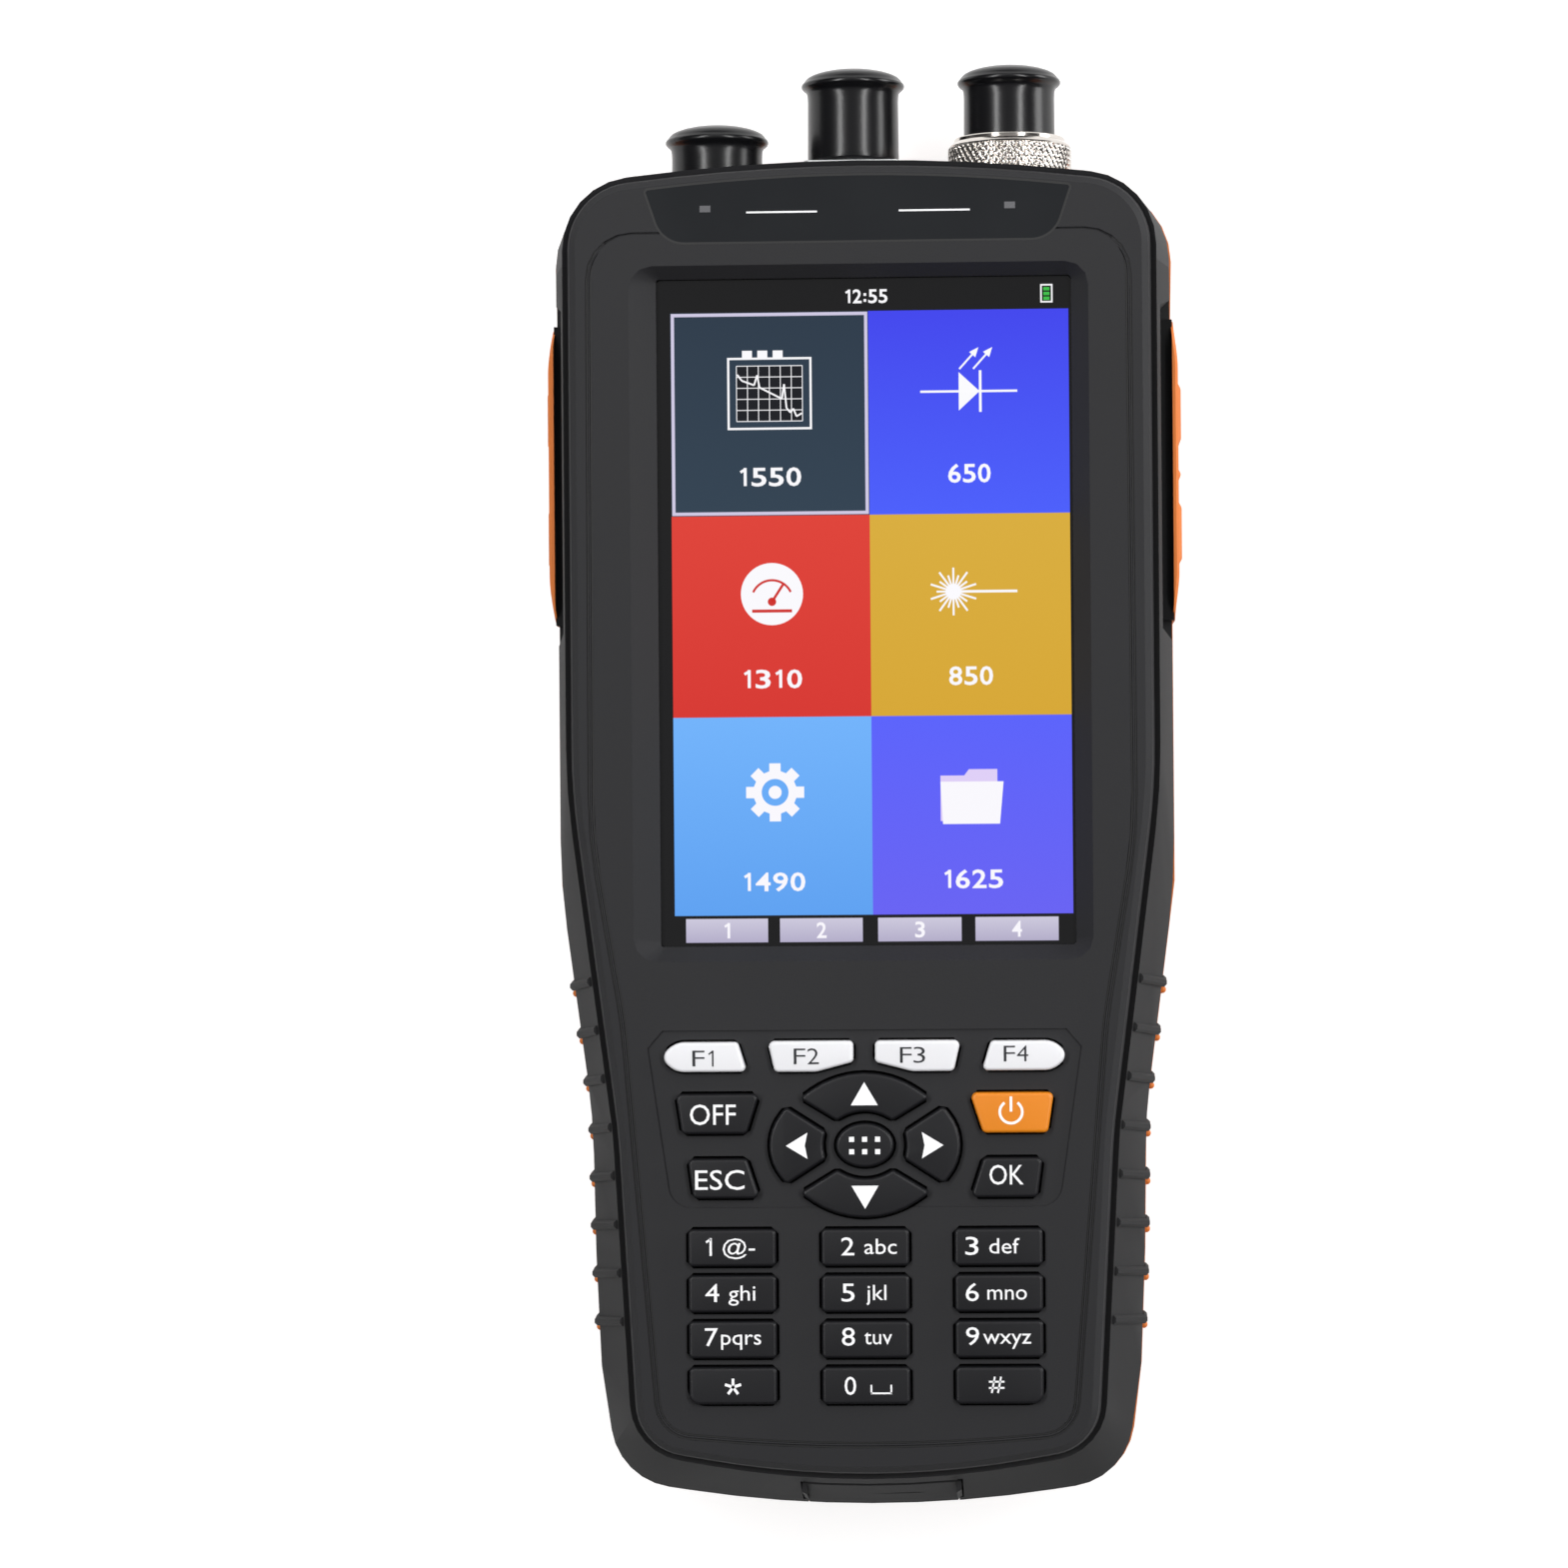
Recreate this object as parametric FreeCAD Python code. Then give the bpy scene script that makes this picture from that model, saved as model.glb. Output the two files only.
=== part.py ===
"""Handheld optical time domain reflectometer, built piece by piece.

The tester lies on its back.  +Z comes out of the screen, +Y runs to the port end,
X runs across.  Shapes are drawn with y counted from the bottom end of the body, and
save() moves each of them so that the middle of the overall length lands on Y = 0.
"""
import FreeCAD, Part
import math
import os

os.makedirs("parts", exist_ok=True)
V = FreeCAD.Vector

# ---------------------------------------------------------------- main dimensions (mm)
BODY_TOP = 176.5          # top end of the body, from its bottom end
HALF_W = 40.6             # half width of the body at the grips
WAIST = HALF_W - 4.0      # half width of the body at the keypad
BUMPER_OUT = 0.3          # the rear bumper stands this far past the body line
LOW_END = 0.3             # bottom end of the rear bumper
BODY_LOW = LOW_END + BUMPER_OUT
CAP_LEN = 12.25           # a rubber dust cap
Z_PART = 27.0             # front and rear shells meet here
Z_WALL = 29.5             # the side wall is upright up to here, then it slopes in
Z_CREASE = 39.4           # top of the sloping side
Z_RIM = 39.9              # the rim starts to roll over here
Z_FACE = 42.0             # face of the front shell
FACE_T = 2.4              # thickness of the face
Z_UNDER = Z_FACE - FACE_T
SHELL_T = 2.0             # side wall of the front shell
BUMPER_T = 2.6            # rear bumper, from the body line inwards
REAR_T = 2.2              # side wall of the rear shell
BACK_T = 3.2              # back wall of the rear shell
GAP = 0.3                 # clearance between pieces that move apart
RUN = 0.05                # radial running clearance
SMALL = 2.5               # a corner with a smaller radius is cut straight

# keys
Z_KEY = 43.0              # top of every key
KEY_TRAVEL = 0.8
Z_KEY_FOOT = 38.4         # underside of a key at rest
KEY_BEVEL = 0.35
FLANGE_T = 0.8            # ears that hold a key under the face
EAR = 0.9
Z_EAR = Z_UNDER - GAP     # top of the ears

# screen, in x and y
SCREEN_X = 1.3            # the display sits a little right of the middle
SCREEN_Y = 118.0
ACTIVE = (51.84, 86.4)
MODULE = (55.0, 96.8)
Z_LENS = Z_UNDER
LENS_T = 1.2
LCD_T = 3.2
WINDOW = (-29.8, 29.8, 72.8, 163.1)
APERTURE = (-26.4, 27.6, 74.7, 161.5)
Z_APERTURE = 40.3

# ports, in x, on one level
PORT_Z = 22.0
VFL_X, OTDR_X, OPM_X = -19.6, -1.3, 19.6
PORT_SEAT = BODY_TOP - 0.1        # flat that the fibre adapter sits on
PLATE = (HALF_W - 10.6, 12.5, 31.5)        # half width, lowest z, highest z of the port plate
PLATE_BACK = 173.3                # inner face of the port plate
FLANGE = (12.6, 2.1)              # square adapter flange: side, thickness
FERRULE_R = 4.0                   # threaded nose that a cap slides over
VFL_SEAT = 171.5                  # the visual fault port stands in a well
WELL_R = 7.3
COLLAR_R = 8.3
COLLAR_Y = (PORT_SEAT + 0.5, PORT_SEAT + 3.7, PORT_SEAT + 5.4)
COLLAR_FLOOR = PORT_SEAT + 2.6
SPIGOT_TOP = COLLAR_FLOOR + 8.2
SOCKET_R = 5.4
OTDR_FACE = PORT_SEAT + FLANGE[1]
CAP_SEATS = {"vfl": (VFL_X, VFL_SEAT + GAP), "otdr": (OTDR_X, OTDR_FACE + GAP),
             "opm": (OPM_X, COLLAR_FLOOR + GAP)}
TOP_END = CAP_SEATS["opm"][1] + CAP_LEN
Y_MID = (TOP_END + LOW_END) / 2

# rear side
DOOR = (-27.0, 27.0, 20.0, 100.0)
DOOR_T = 2.0
BAY = (-24.5, 24.5, 27.0, 97.0)
BAY_TOP = 22.0
STAND = (-20.0, 20.0, 108.0, 160.0)
STAND_T = 2.2
STAND_Z = 0.3
PIVOT_Z = 1.8
PIVOT_R = 1.0
KNUCKLE_R = 1.45
POCKET_Z = 3.6
SCREW_X = (HALF_W - 8.1, WAIST - 11.3)
CASE_SCREWS = ((-SCREW_X[0], 160.5), (SCREW_X[0], 160.5), (-SCREW_X[1], 14.6),
               (SCREW_X[1], 14.6))
DOOR_SCREWS = ((-18.0, 23.4), (18.0, 23.4))
BOSS_R = 3.5

# side grips and ribs
GRIP_Y = (117.0, 156.6)
GRIP_Z = (9.0, 31.5)
GRIP_OUT = HALF_W + 1.0
GRIP_LIP = HALF_W - 0.3   # the free lip of the grip starts here
GRIP_ROOT = HALF_W - BUMPER_T
PAD = 0.45
PADS = ((124.6, 132.5, 11.0, 29.0), (135.8, 137.2, 14.0, 26.0), (140.4, 148.2, 11.0, 29.0))
RIB_Y0, RIB_PITCH, RIB_N = 25.1, 6.34, 8
RIB_R = 0.65

# port cover at the bottom end
COVER_X = 1.6
COVER_W = 19.8
COVER_Z = (12.3, 36.8)
COVER_AXIS = (LOW_END + 1.3, COVER_Z[0] + 1.3)  # the bead that the cover turns on, in y and z
COVER_BEAD_R = 1.3
DC_X, USB_X = -3.2, 7.2
SOCKET_Z = 19.0


# ---------------------------------------------------------------- outlines
def mirrored(half):
    """Full outline from its right half, given from the bottom centre to the top centre."""
    return half + [(-x, y, r) for x, y, r in half[-2:0:-1]]


def rectangle(x0, x1, y0, y1, r=0.0):
    return [(x1, y0, r), (x1, y1, r), (x0, y1, r), (x0, y0, r)]


def flip_x(points):
    """Mirror image in X, still anticlockwise."""
    return [(-x, y, r) for x, y, r in points[::-1]]


def flip_y(points, y_axis):
    return [(x, 2 * y_axis - y, r) for x, y, r in points[::-1]]


def grow(points, d):
    """Move every side of an anticlockwise outline outwards by d."""
    n = len(points)
    out = []
    for i in range(n):
        ax, ay, _ = points[i - 1]
        bx, by, r = points[i]
        cx, cy, _ = points[(i + 1) % n]
        ux, uy = bx - ax, by - ay
        wx, wy = cx - bx, cy - by
        lu, lw = math.hypot(ux, uy), math.hypot(wx, wy)
        ux, uy, wx, wy = ux / lu, uy / lu, wx / lw, wy / lw
        turn = ux * wy - uy * wx
        k = d * math.tan(math.atan2(turn, ux * wx + uy * wy) / 2)
        x = bx + d * uy + k * ux
        y = by - d * ux + k * uy
        radius = r + d if turn > 0 else r - d
        out.append((x, y, max(radius, 0.05) if r > 0 else 0.0))
    return out


def wire(points, z):
    """Closed wire of lines and tangent arcs through an outline of (x, y, radius)."""
    n = len(points)
    ends = []
    for i in range(n):
        a = V(points[i - 1][0], points[i - 1][1], z)
        b = V(points[i][0], points[i][1], z)
        c = V(points[(i + 1) % n][0], points[(i + 1) % n][1], z)
        r = points[i][2]
        u, w = (a - b).normalize(), (c - b).normalize()
        turn = math.pi - u.getAngle(w)
        if r <= 0 or turn < 1e-6:
            ends.append((b, b, b))
            continue
        t = r * math.tan(turn / 2)
        bisector = (u + w).normalize()
        mid = b + bisector * (r / math.cos(turn / 2) - r)
        ends.append((b + u * t, mid, b + w * t))
    edges = []
    for i in range(n):
        start, mid, end = ends[i]
        if (end - start).Length > 1e-6:
            small = points[i][2] < SMALL
            edges.append(Part.makeLine(start, end) if small else
                         Part.Arc(start, mid, end).toShape())
        following = ends[(i + 1) % n][0]
        if (following - end).Length > 1e-6:
            edges.append(Part.makeLine(end, following))
    return Part.Wire(edges)


def chords(points, counts):
    """Outline as plain (x, y) corners; counts gives the chords of each rounding.

    The counts run from the bottom centre to the top centre, and both halves use them.
    """
    n = len(points)
    counts = list(counts) + list(counts[-2:0:-1])
    out = []
    for i in range(n):
        a, b, c = [V(p[0], p[1], 0) for p in (points[i - 1], points[i], points[(i + 1) % n])]
        r = points[i][2]
        if counts[i] == 0:
            out.append((b.x, b.y))
            continue
        u, w = (a - b).normalize(), (c - b).normalize()
        half = (math.pi - u.getAngle(w)) / 2
        centre = b + (u + w).normalize() * (r / math.cos(half))
        first = (b + u * (r * math.tan(half)) - centre)
        side = 1 if (b - a).cross(c - b).z > 0 else -1
        for k in range(counts[i] + 1):
            t = side * 2 * half * k / counts[i]
            x = centre.x + first.x * math.cos(t) - first.y * math.sin(t)
            y = centre.y + first.x * math.sin(t) + first.y * math.cos(t)
            out.append((x, y))
    return out


# ---------------------------------------------------------------- solids
def facets(*sections):
    """Solid through (corners, z) sections, flat triangles between matched corners."""
    rings = [[V(x, y, z) for x, y in corners] for corners, z in sections]
    faces = [Part.Face(Part.makePolygon(ring + ring[:1])) for ring in (rings[0], rings[-1])]
    for low, high in zip(rings, rings[1:]):
        for i in range(len(low)):
            j = (i + 1) % len(low)
            for corners in ((low[i], low[j], high[j]), (low[i], high[j], high[i])):
                faces.append(Part.Face(Part.makePolygon(list(corners) + [corners[0]])))
    solid = Part.makeSolid(Part.makeShell(faces))
    return solid.removeSplitter()


def plain(corners, z0, z1):
    """Prism from plain (x, y) corners."""
    ring = [V(x, y, z0) for x, y in corners]
    return Part.Face(Part.makePolygon(ring + ring[:1])).extrude(V(0, 0, z1 - z0))


def prism(points, z0, z1):
    return Part.Face(wire(points, z0)).extrude(V(0, 0, z1 - z0))


def stack(*sections):
    """Solid through (outline, z) sections with straight walls between them."""
    return Part.makeLoft([wire(points, z) for points, z in sections], True, True)


def box(x0, x1, y0, y1, z0, z1):
    return Part.makeBox(x1 - x0, y1 - y0, z1 - z0, V(x0, y0, z0))


def rod(x, y0, y1, r, z=PORT_Z):
    """Cylinder along Y."""
    return Part.makeCylinder(r, y1 - y0, V(x, y0, z), V(0, 1, 0))


def many_sided(x, y0, y1, r, z=PORT_Z, sides=12):
    """Rod along Y with flats at r, for bores and holes that are out of sight."""
    reach = r / math.cos(math.pi / sides)
    turns = [2 * math.pi * (i + 0.5) / sides for i in range(sides)]
    ring = [V(x + reach * math.cos(a), y0, z + reach * math.sin(a)) for a in turns]
    return Part.Face(Part.makePolygon(ring + ring[:1])).extrude(V(0, y1 - y0, 0))


def stud(x, y, z0, z1, r, sides=8):
    """Many-sided post, for the screws, screw holes and bosses that repeat."""
    turns = [2 * math.pi * (i + 0.5) / sides for i in range(sides)]
    return prism([(x + r * math.cos(a), y + r * math.sin(a), 0) for a in turns], z0, z1)


def side_plate(points, x0, x1):
    """Prism along X from an outline in (y, z)."""
    solid = prism(points, 0, x1 - x0)
    solid.rotate(V(0, 0, 0), V(1, 1, 1), 120)
    solid.translate(V(x0, 0, 0))
    return solid


def fused(first, *others):
    return first.multiFuse(list(others)).removeSplitter() if others else first


def cut(solid, *tools):
    return solid.cut(list(tools)) if tools else solid


def both_sides(solid):
    return [solid, solid.mirror(V(0, 0, 0), V(1, 0, 0))]


def save(name, shape):
    shape = shape.copy()
    shape.translate(V(0, -Y_MID, 0))
    shape.exportStep(os.path.join("parts", name + ".step"))


# ---------------------------------------------------------------- the case outlines
BODY_COUNTS = (8, 6, 0, 0, 2, 2, 6, 8)
BODY = mirrored([(0, BODY_LOW - 1.827, 160), (WAIST - 3.1, 3.85, 9.0), (WAIST - 0.9, 19.0, 0),
                 (WAIST - 0.3, 34.0, 0), (WAIST, 52.0, 90), (HALF_W, 82.6, 90),
                 (HALF_W, BODY_TOP - 3.4, 9.8), (0, BODY_TOP + 2.18, 215)])
RIM_W = HALF_W - 2.65
CREASE_HALF = [(0, 4.22, 120), (WAIST - 6.6, 9.51, 7.0), (WAIST - 4.34, 50.6, 90),
               (RIM_W, 95.0, 90), (RIM_W, BODY_TOP - 3.14, 8.8), (0, BODY_TOP + 1.3, 250)]
CREASE = mirrored(CREASE_HALF)
PANEL_TOP = 167.5
PANEL_COUNTS = (8, 5, 2, 2, 5, 0)
PANEL = mirrored([(0, 8.66, 235), (WAIST - 9.35, 11.22, 5.0), (WAIST - 4.9, 65.0, 60),
                  (RIM_W - 2.3, 88.9, 60), (RIM_W - 2.55, PANEL_TOP, 6.0), (0, PANEL_TOP, 0)])
STRIP = mirrored([(0, 166.0, 0), (25.34, 166.0, 4.0), (27.7, 173.0, 0.4), (0, 176.13, 235)])
FIELD = mirrored([(0, 40.9, 0), (25.2, 40.9, 3.0), (28.5, 63.9, 2.0), (0, 63.9, 0)])


def front_outer():
    """The whole black front, sloping from the parting line to the crease."""
    x, y = WAIST - 6.6, 9.51
    lean = (WAIST - 4.34 - x) / (50.6 - y)
    split = CREASE_HALF[:2] + [(x + lean * (v - y), v, 0) for v in (21.0, 35.0)] + CREASE_HALF[2:]
    body = body_line(0)
    lip, inner = [chords(grow(mirrored(split), d), BODY_COUNTS) for d in (0.75, -0.3)]
    return facets((body, Z_PART), (body, Z_WALL), (lip, Z_CREASE), (inner, Z_CREASE - 0.7))


def body_line(d):
    """The body outline in chords, moved outwards by d."""
    return chords(grow(BODY, d), BODY_COUNTS)


def rear_outer():
    full = body_line(BUMPER_OUT)
    return facets((body_line(BUMPER_OUT - 3.0), 1.6), (full, 5.6), (full, Z_PART))


def rear_inner(top):
    """The rear shell without its bumper, with a broken edge round the back."""
    line = body_line(-BUMPER_T)
    return facets((body_line(-BUMPER_T - 1.7), 0), (line, 1.7), (line, top))


# ---------------------------------------------------------------- keys
F1 = [(-15.2, 58.55, 0.6), (-16.4, 62.4, 0.6), (-24.5, 62.4, 3.0), (-26.5, 60.5, 1.3),
      (-24.5, 58.55, 3.0)]
F2 = [(-6.2, 58.5, 2.0), (-1.4, 59.75, 0.6), (-1.4, 62.5, 0.6), (-12.5, 62.5, 0.7),
      (-11.6, 58.5, 0.7)]
OFF = [(-15.3, 50.5, 0.7), (-13.6, 55.7, 0.7), (-24.5, 55.7, 0.7), (-23.7, 50.5, 0.7)]
ESC = [(-13.6, 42.15, 0.7), (-15.3, 47.3, 0.7), (-23.0, 47.3, 0.7), (-22.3, 42.15, 0.7)]
PAD_Y = 48.97
UP = [(3.6, 52.15, 0.5), (8.5, 55.1, 0.5), (0, 61.0, 12.2), (-8.5, 55.1, 0.5),
      (-3.6, 52.15, 0.5), (0, 54.25, 6.0)]
LEFT = [(-5.1, 47.2, 0.6), (-5.45, PAD_Y, 5.0), (-5.1, 50.75, 0.6), (-10.2, 54.0, 0.6),
        (-14.2, PAD_Y, 6.5), (-10.2, 2 * PAD_Y - 54.0, 0.6)]
MENU = (3.75, 2.85)
KEY_X = (-17.3, -0.05, 17.2)
KEY_Y = (35.76, 29.8, 23.85, 17.9)
KEY_SIZE = (11.4, 4.8)


def number_key(x, y, corner=None):
    w, h = KEY_SIZE[0] / 2, KEY_SIZE[1] / 2
    radii = [0.6, 0.6, 0.6, 0.6]
    if corner is not None:
        radii[corner] = 2.2
    plain = rectangle(x - w, x + w, y - h, y + h)
    return [(px, py, r) for (px, py, _), r in zip(plain, radii)]


def key_outlines():
    """Every key outline, by node name, with the band in y that its ears take."""
    keys = {"key_f1": (F1, 2.0), "key_f2": (F2, 1.4), "key_f3": (flip_x(F2), 1.4),
            "key_f4": (flip_x(F1), 2.0), "key_off": (OFF, 2.6), "key_esc": (ESC, 2.6),
            "key_power": (flip_x(OFF), 2.6), "key_ok": (flip_x(ESC), 2.6),
            "key_up": (UP, 0), "key_down": (flip_y(UP, PAD_Y), 0),
            "key_left": (LEFT, 0), "key_right": (flip_x(LEFT), 0)}
    names = ["1", "2", "3", "4", "5", "6", "7", "8", "9", "star", "0", "hash"]
    for i, name in enumerate(names):
        corner = {"star": 3, "hash": 0}.get(name)
        outline = number_key(KEY_X[i % 3], KEY_Y[i // 3], corner)
        keys["key_" + name] = (outline, 2.6 if corner is None else 1.6)
    return keys


def ears(points, band, clear=0.0):
    """The bar under a key that keeps it behind the face."""
    xs = [p[0] for p in points]
    ys = [p[1] for p in points]
    mid = (min(ys) + max(ys)) / 2
    if points in (F2, flip_x(F2)):
        mid = 61.1
    if min(ys) < KEY_Y[3] and max(p[2] for p in points) > 2.0:
        mid = max(ys) - 1.0
    return box(min(xs) - EAR - clear, max(xs) + EAR + clear, mid - band / 2 - clear,
               mid + band / 2 + clear, Z_EAR - FLANGE_T, Z_EAR)


def bevelled(solid, size):
    """Chamfer round the top face."""
    top = solid.BoundBox.ZMax
    rim = [e for e in solid.Edges if abs(e.BoundBox.ZMin - top) < 1e-4]
    return solid.makeChamfer(size, rim)


def key_solid(points, band):
    cap = bevelled(prism(points, Z_KEY_FOOT, Z_KEY), KEY_BEVEL)
    return fused(cap, ears(points, band)) if band else cap


def ellipse_wire(a, b, z):
    edge = Part.Ellipse(V(0, PAD_Y, z), a, b).toShape()
    return Part.Wire([edge])


def menu_key():
    a, b = MENU
    return Part.Face(ellipse_wire(a, b, Z_KEY_FOOT)).extrude(V(0, 0, Z_KEY - Z_KEY_FOOT))


def key_holes():
    low = Z_KEY_FOOT - KEY_TRAVEL - GAP
    holes = [prism(grow(points, GAP), low, Z_FACE + 1)
             for points, band in key_outlines().values()]
    a, b = MENU
    oval = Part.Face(ellipse_wire(a + GAP, b + GAP, low)).extrude(V(0, 0, Z_FACE + 1 - low))
    return holes + [oval]


# ---------------------------------------------------------------- shared cutters
def plate_notch():
    w, z0, z1 = PLATE
    return box(-w, w, PLATE_BACK - 5, BODY_TOP + 5, z0, z1)


def cover_profile(clear):
    """Side outline of the port cover in (y, z), grown by its clearance."""
    z0, z1 = COVER_Z
    edge = 3.4 + clear
    slope = 5.6 + clear
    top = z1 + (0.7 if clear else 0.0)
    return [(-6, z0 - clear, 0), (edge, z0 - clear, 0), (edge, 29.2, 0), (slope, 34.8, 0),
            (slope, top, 0), (-6, top, 0)]


def cover_pocket():
    half = COVER_W / 2 + 0.1
    pocket = side_plate(cover_profile(GAP), COVER_X - half, COVER_X + half)
    wide = side_plate(cover_profile(GAP), COVER_X - half - 0.6, COVER_X + half + 0.6)
    return pocket.fuse(wide.common(box(-50, 50, -10, 10, 30.5, 45)))


def grip_slab():
    y0, y1 = GRIP_Y
    z0, z1 = GRIP_Z
    root = side_plate(rectangle(y0, y1, z0, Z_WALL - 1), GRIP_ROOT, GRIP_LIP + 0.2)
    lip = side_plate(rectangle(y0, y1, z0, z1, 4.0), GRIP_LIP, GRIP_OUT)
    return fused(root, lip)


def grip_scallop():
    """The hollow with slanted ends beside a grip, cut in the black slope."""
    y0, y1 = GRIP_Y
    x0, x1 = HALF_W - 1.7, HALF_W + 1.9
    outline = [(x0, y0 - 1.0, 0.6), (x1, y0 - 4.6, 0), (x1, y1 + 4.6, 0), (x0, y1 + 1.0, 0.6)]
    return prism(outline, Z_WALL - 1, Z_CREASE - 2.6)


def bar(a, b, r):
    """Eight-sided bar from a to b."""
    axis = b - a
    u = axis.cross(V(0, 1, 0) if abs(axis.x) < abs(axis.z) else V(0, 0, 1)).normalize()
    w = axis.cross(u).normalize()
    turns = [math.radians(22.5 + 45 * i) for i in range(8)]
    ring = [a + u * (r * math.cos(t)) + w * (r * math.sin(t)) for t in turns]
    return Part.Face(Part.makePolygon(ring + ring[:1])).extrude(axis)


def rib(side, y, orange):
    """One half-round rib: black over the slope, orange slanting down behind it."""
    foot = WAIST + (y - 52.0) * 0.1307 if y > 52.0 else WAIST - 0.3 + (y - 34.0) * 0.0167
    foot = foot if y > 34.0 else WAIST - 0.3 - (34.0 - y) * 0.04
    head = WAIST - 4.34 + max(0.0, y - 50.6) * 0.1282 - max(0.0, 50.6 - y) * 0.055
    if orange:
        a = V(side * (foot + 0.25), y - 0.6, Z_PART + 0.2)
        b = V(side * (foot - 0.4), y - 5.2, 9.5)
        return bar(a, b, RIB_R)
    a = V(side * (foot + 0.02), y, Z_PART)
    b = V(side * (foot + 0.02), y, Z_WALL + 0.1)
    c = V(side * (head + 0.9), y, Z_CREASE - 0.7)
    start = b - (c - b).normalize() * 0.2
    return bar(a, b, RIB_R).fuse(bar(start, c, RIB_R))


def rib_levels():
    return [RIB_Y0 + i * RIB_PITCH for i in range(RIB_N)]


# ---------------------------------------------------------------- front half
BUMPER_END = 163.5


def front_shell():
    core = stack((CREASE, Z_PART), (CREASE, Z_RIM), (grow(CREASE, -0.35), Z_RIM + 1.2),
                 (grow(CREASE, -1.2), Z_FACE))
    head = front_outer().common(box(-50, 50, BUMPER_END, 190, 20, 45))
    shell = fused(core, head)
    hollow = plain(chords(grow(CREASE, -SHELL_T), (4, 3, 1, 1, 3, 4)), Z_PART - 1, Z_UNDER)
    shell = cut(shell, hollow)
    bosses = [stud(x, y, Z_PART, Z_UNDER, BOSS_R) for x, y in CASE_SCREWS]
    stay_x = RIM_W - 4.75
    stays = [stud(x, y, 31.1, Z_UNDER, 2.2) for x in (-stay_x, stay_x) for y in (76.0, 150.0)]
    shell = fused(shell, *bosses, *stays)
    rim = chords(rectangle(*WINDOW, 3.0), (3, 3, 3))
    sill = chords(rectangle(*APERTURE, 0.8), (3, 3, 3))
    window = facets((sill, Z_APERTURE), (rim, Z_FACE), (rim, Z_FACE + 1))
    aperture = prism(rectangle(*APERTURE), Z_UNDER - 1, Z_APERTURE + 0.1)
    fine = PANEL_TOP - 0.28
    inner = [(x, fine if y > fine - 1 else y, r) for x, y, r in grow(PANEL, -0.83)]
    groove = plain(chords(PANEL, PANEL_COUNTS), Z_FACE - 0.45, Z_FACE + 1)
    groove = groove.cut(plain(chords(inner, PANEL_COUNTS), Z_FACE - 1, Z_FACE + 2))
    field = prism(FIELD, Z_FACE - 0.3, Z_FACE + 1)
    strip = prism(STRIP, Z_FACE - 0.5, Z_FACE + 1)
    lights = [box(x - 0.7, x + 0.7, 170.0, 170.85, Z_UNDER - 1, Z_FACE) for x in (-19.75, 19.75)]
    drill = [stud(x, y, Z_PART - 1, 34.0, 1.4) for x, y in CASE_SCREWS]
    return cut(shell, window, aperture, groove, field, strip, plate_notch(),
               cover_pocket(), *lights, *drill, *key_holes())


def front_bumper():
    band = front_outer().cut(prism(CREASE, Z_PART - 1, Z_FACE + 1))
    band = band.cut(box(-50, 50, BUMPER_END, 190, 20, 45))
    ribs = [rib(s, y, False) for s in (-1, 1) for y in rib_levels()]
    keep = box(-50, 50, -5, 170, Z_PART, Z_FACE)
    band = band.multiFuse(ribs).common(keep)
    band = band.cut(prism(CREASE, Z_PART - 1, Z_FACE + 1))
    cutters = both_sides(grip_slab()) + both_sides(grip_scallop()) + [cover_pocket()]
    return cut(band, *cutters)


def label_strip():
    holes = [box(x - 0.7, x + 0.7, 170.0, 170.85, 40, 45) for x in (-19.75, 19.75)]
    return cut(prism(STRIP, Z_FACE - 0.5, Z_FACE), *holes)


def light_pipes():
    pieces = []
    for x in (-19.75, 19.75):
        stem = box(x - 0.7, x + 0.7, 170.0, 170.85, Z_UNDER - 0.8, Z_FACE)
        foot = box(x - 1.6, x + 1.6, 169.2, 171.6, Z_UNDER - 1.6, Z_UNDER)
        pieces.append(fused(stem, foot))
    return Part.makeCompound(pieces)


def screen_lens():
    x0, x1, y0, y1 = APERTURE
    return prism(rectangle(x0 - 1.1, x1 + 1.1, y0 - 1.5, y1 + 1.5, 1.0), Z_LENS - LENS_T, Z_LENS)


def lcd_panel():
    w, h = MODULE
    y0 = SCREEN_Y - ACTIVE[1] / 2 - 7.4
    z1 = Z_LENS - LENS_T
    body = box(SCREEN_X - w / 2, SCREEN_X + w / 2, y0, y0 + h, z1 - LCD_T, z1)
    tail = box(SCREEN_X - 9, SCREEN_X + 9, y0 + 1, y0 + 12, 31.1, z1 - LCD_T)
    return fused(body, tail)


def boss_relief():
    """Room for the lower case screw bosses in the boards and the mat."""
    return [stud(x, y, 25, 41, BOSS_R + 0.6) for x, y in CASE_SCREWS[2:]]


def keypad_mat():
    outline = mirrored([(0, 12.6, 0), (25.4, 12.6, 3.0), (28.6, 60.0, 8.0), (28.6, 66.4, 1.0),
                        (0, 66.4, 0)])
    sheet = prism(outline, 36.0, Z_UNDER)
    return cut(sheet, prism(grow(outline, -0.8), 37.3, Z_UNDER + 1), *boss_relief())


def keypad_board():
    outline = mirrored([(0, 12.6, 0), (24.0, 12.6, 3.0), (28.6, 60.0, 8.0), (28.6, 66.4, 1.0),
                        (0, 66.4, 0)])
    return cut(prism(outline, 34.4, 36.0), *boss_relief())


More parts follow.
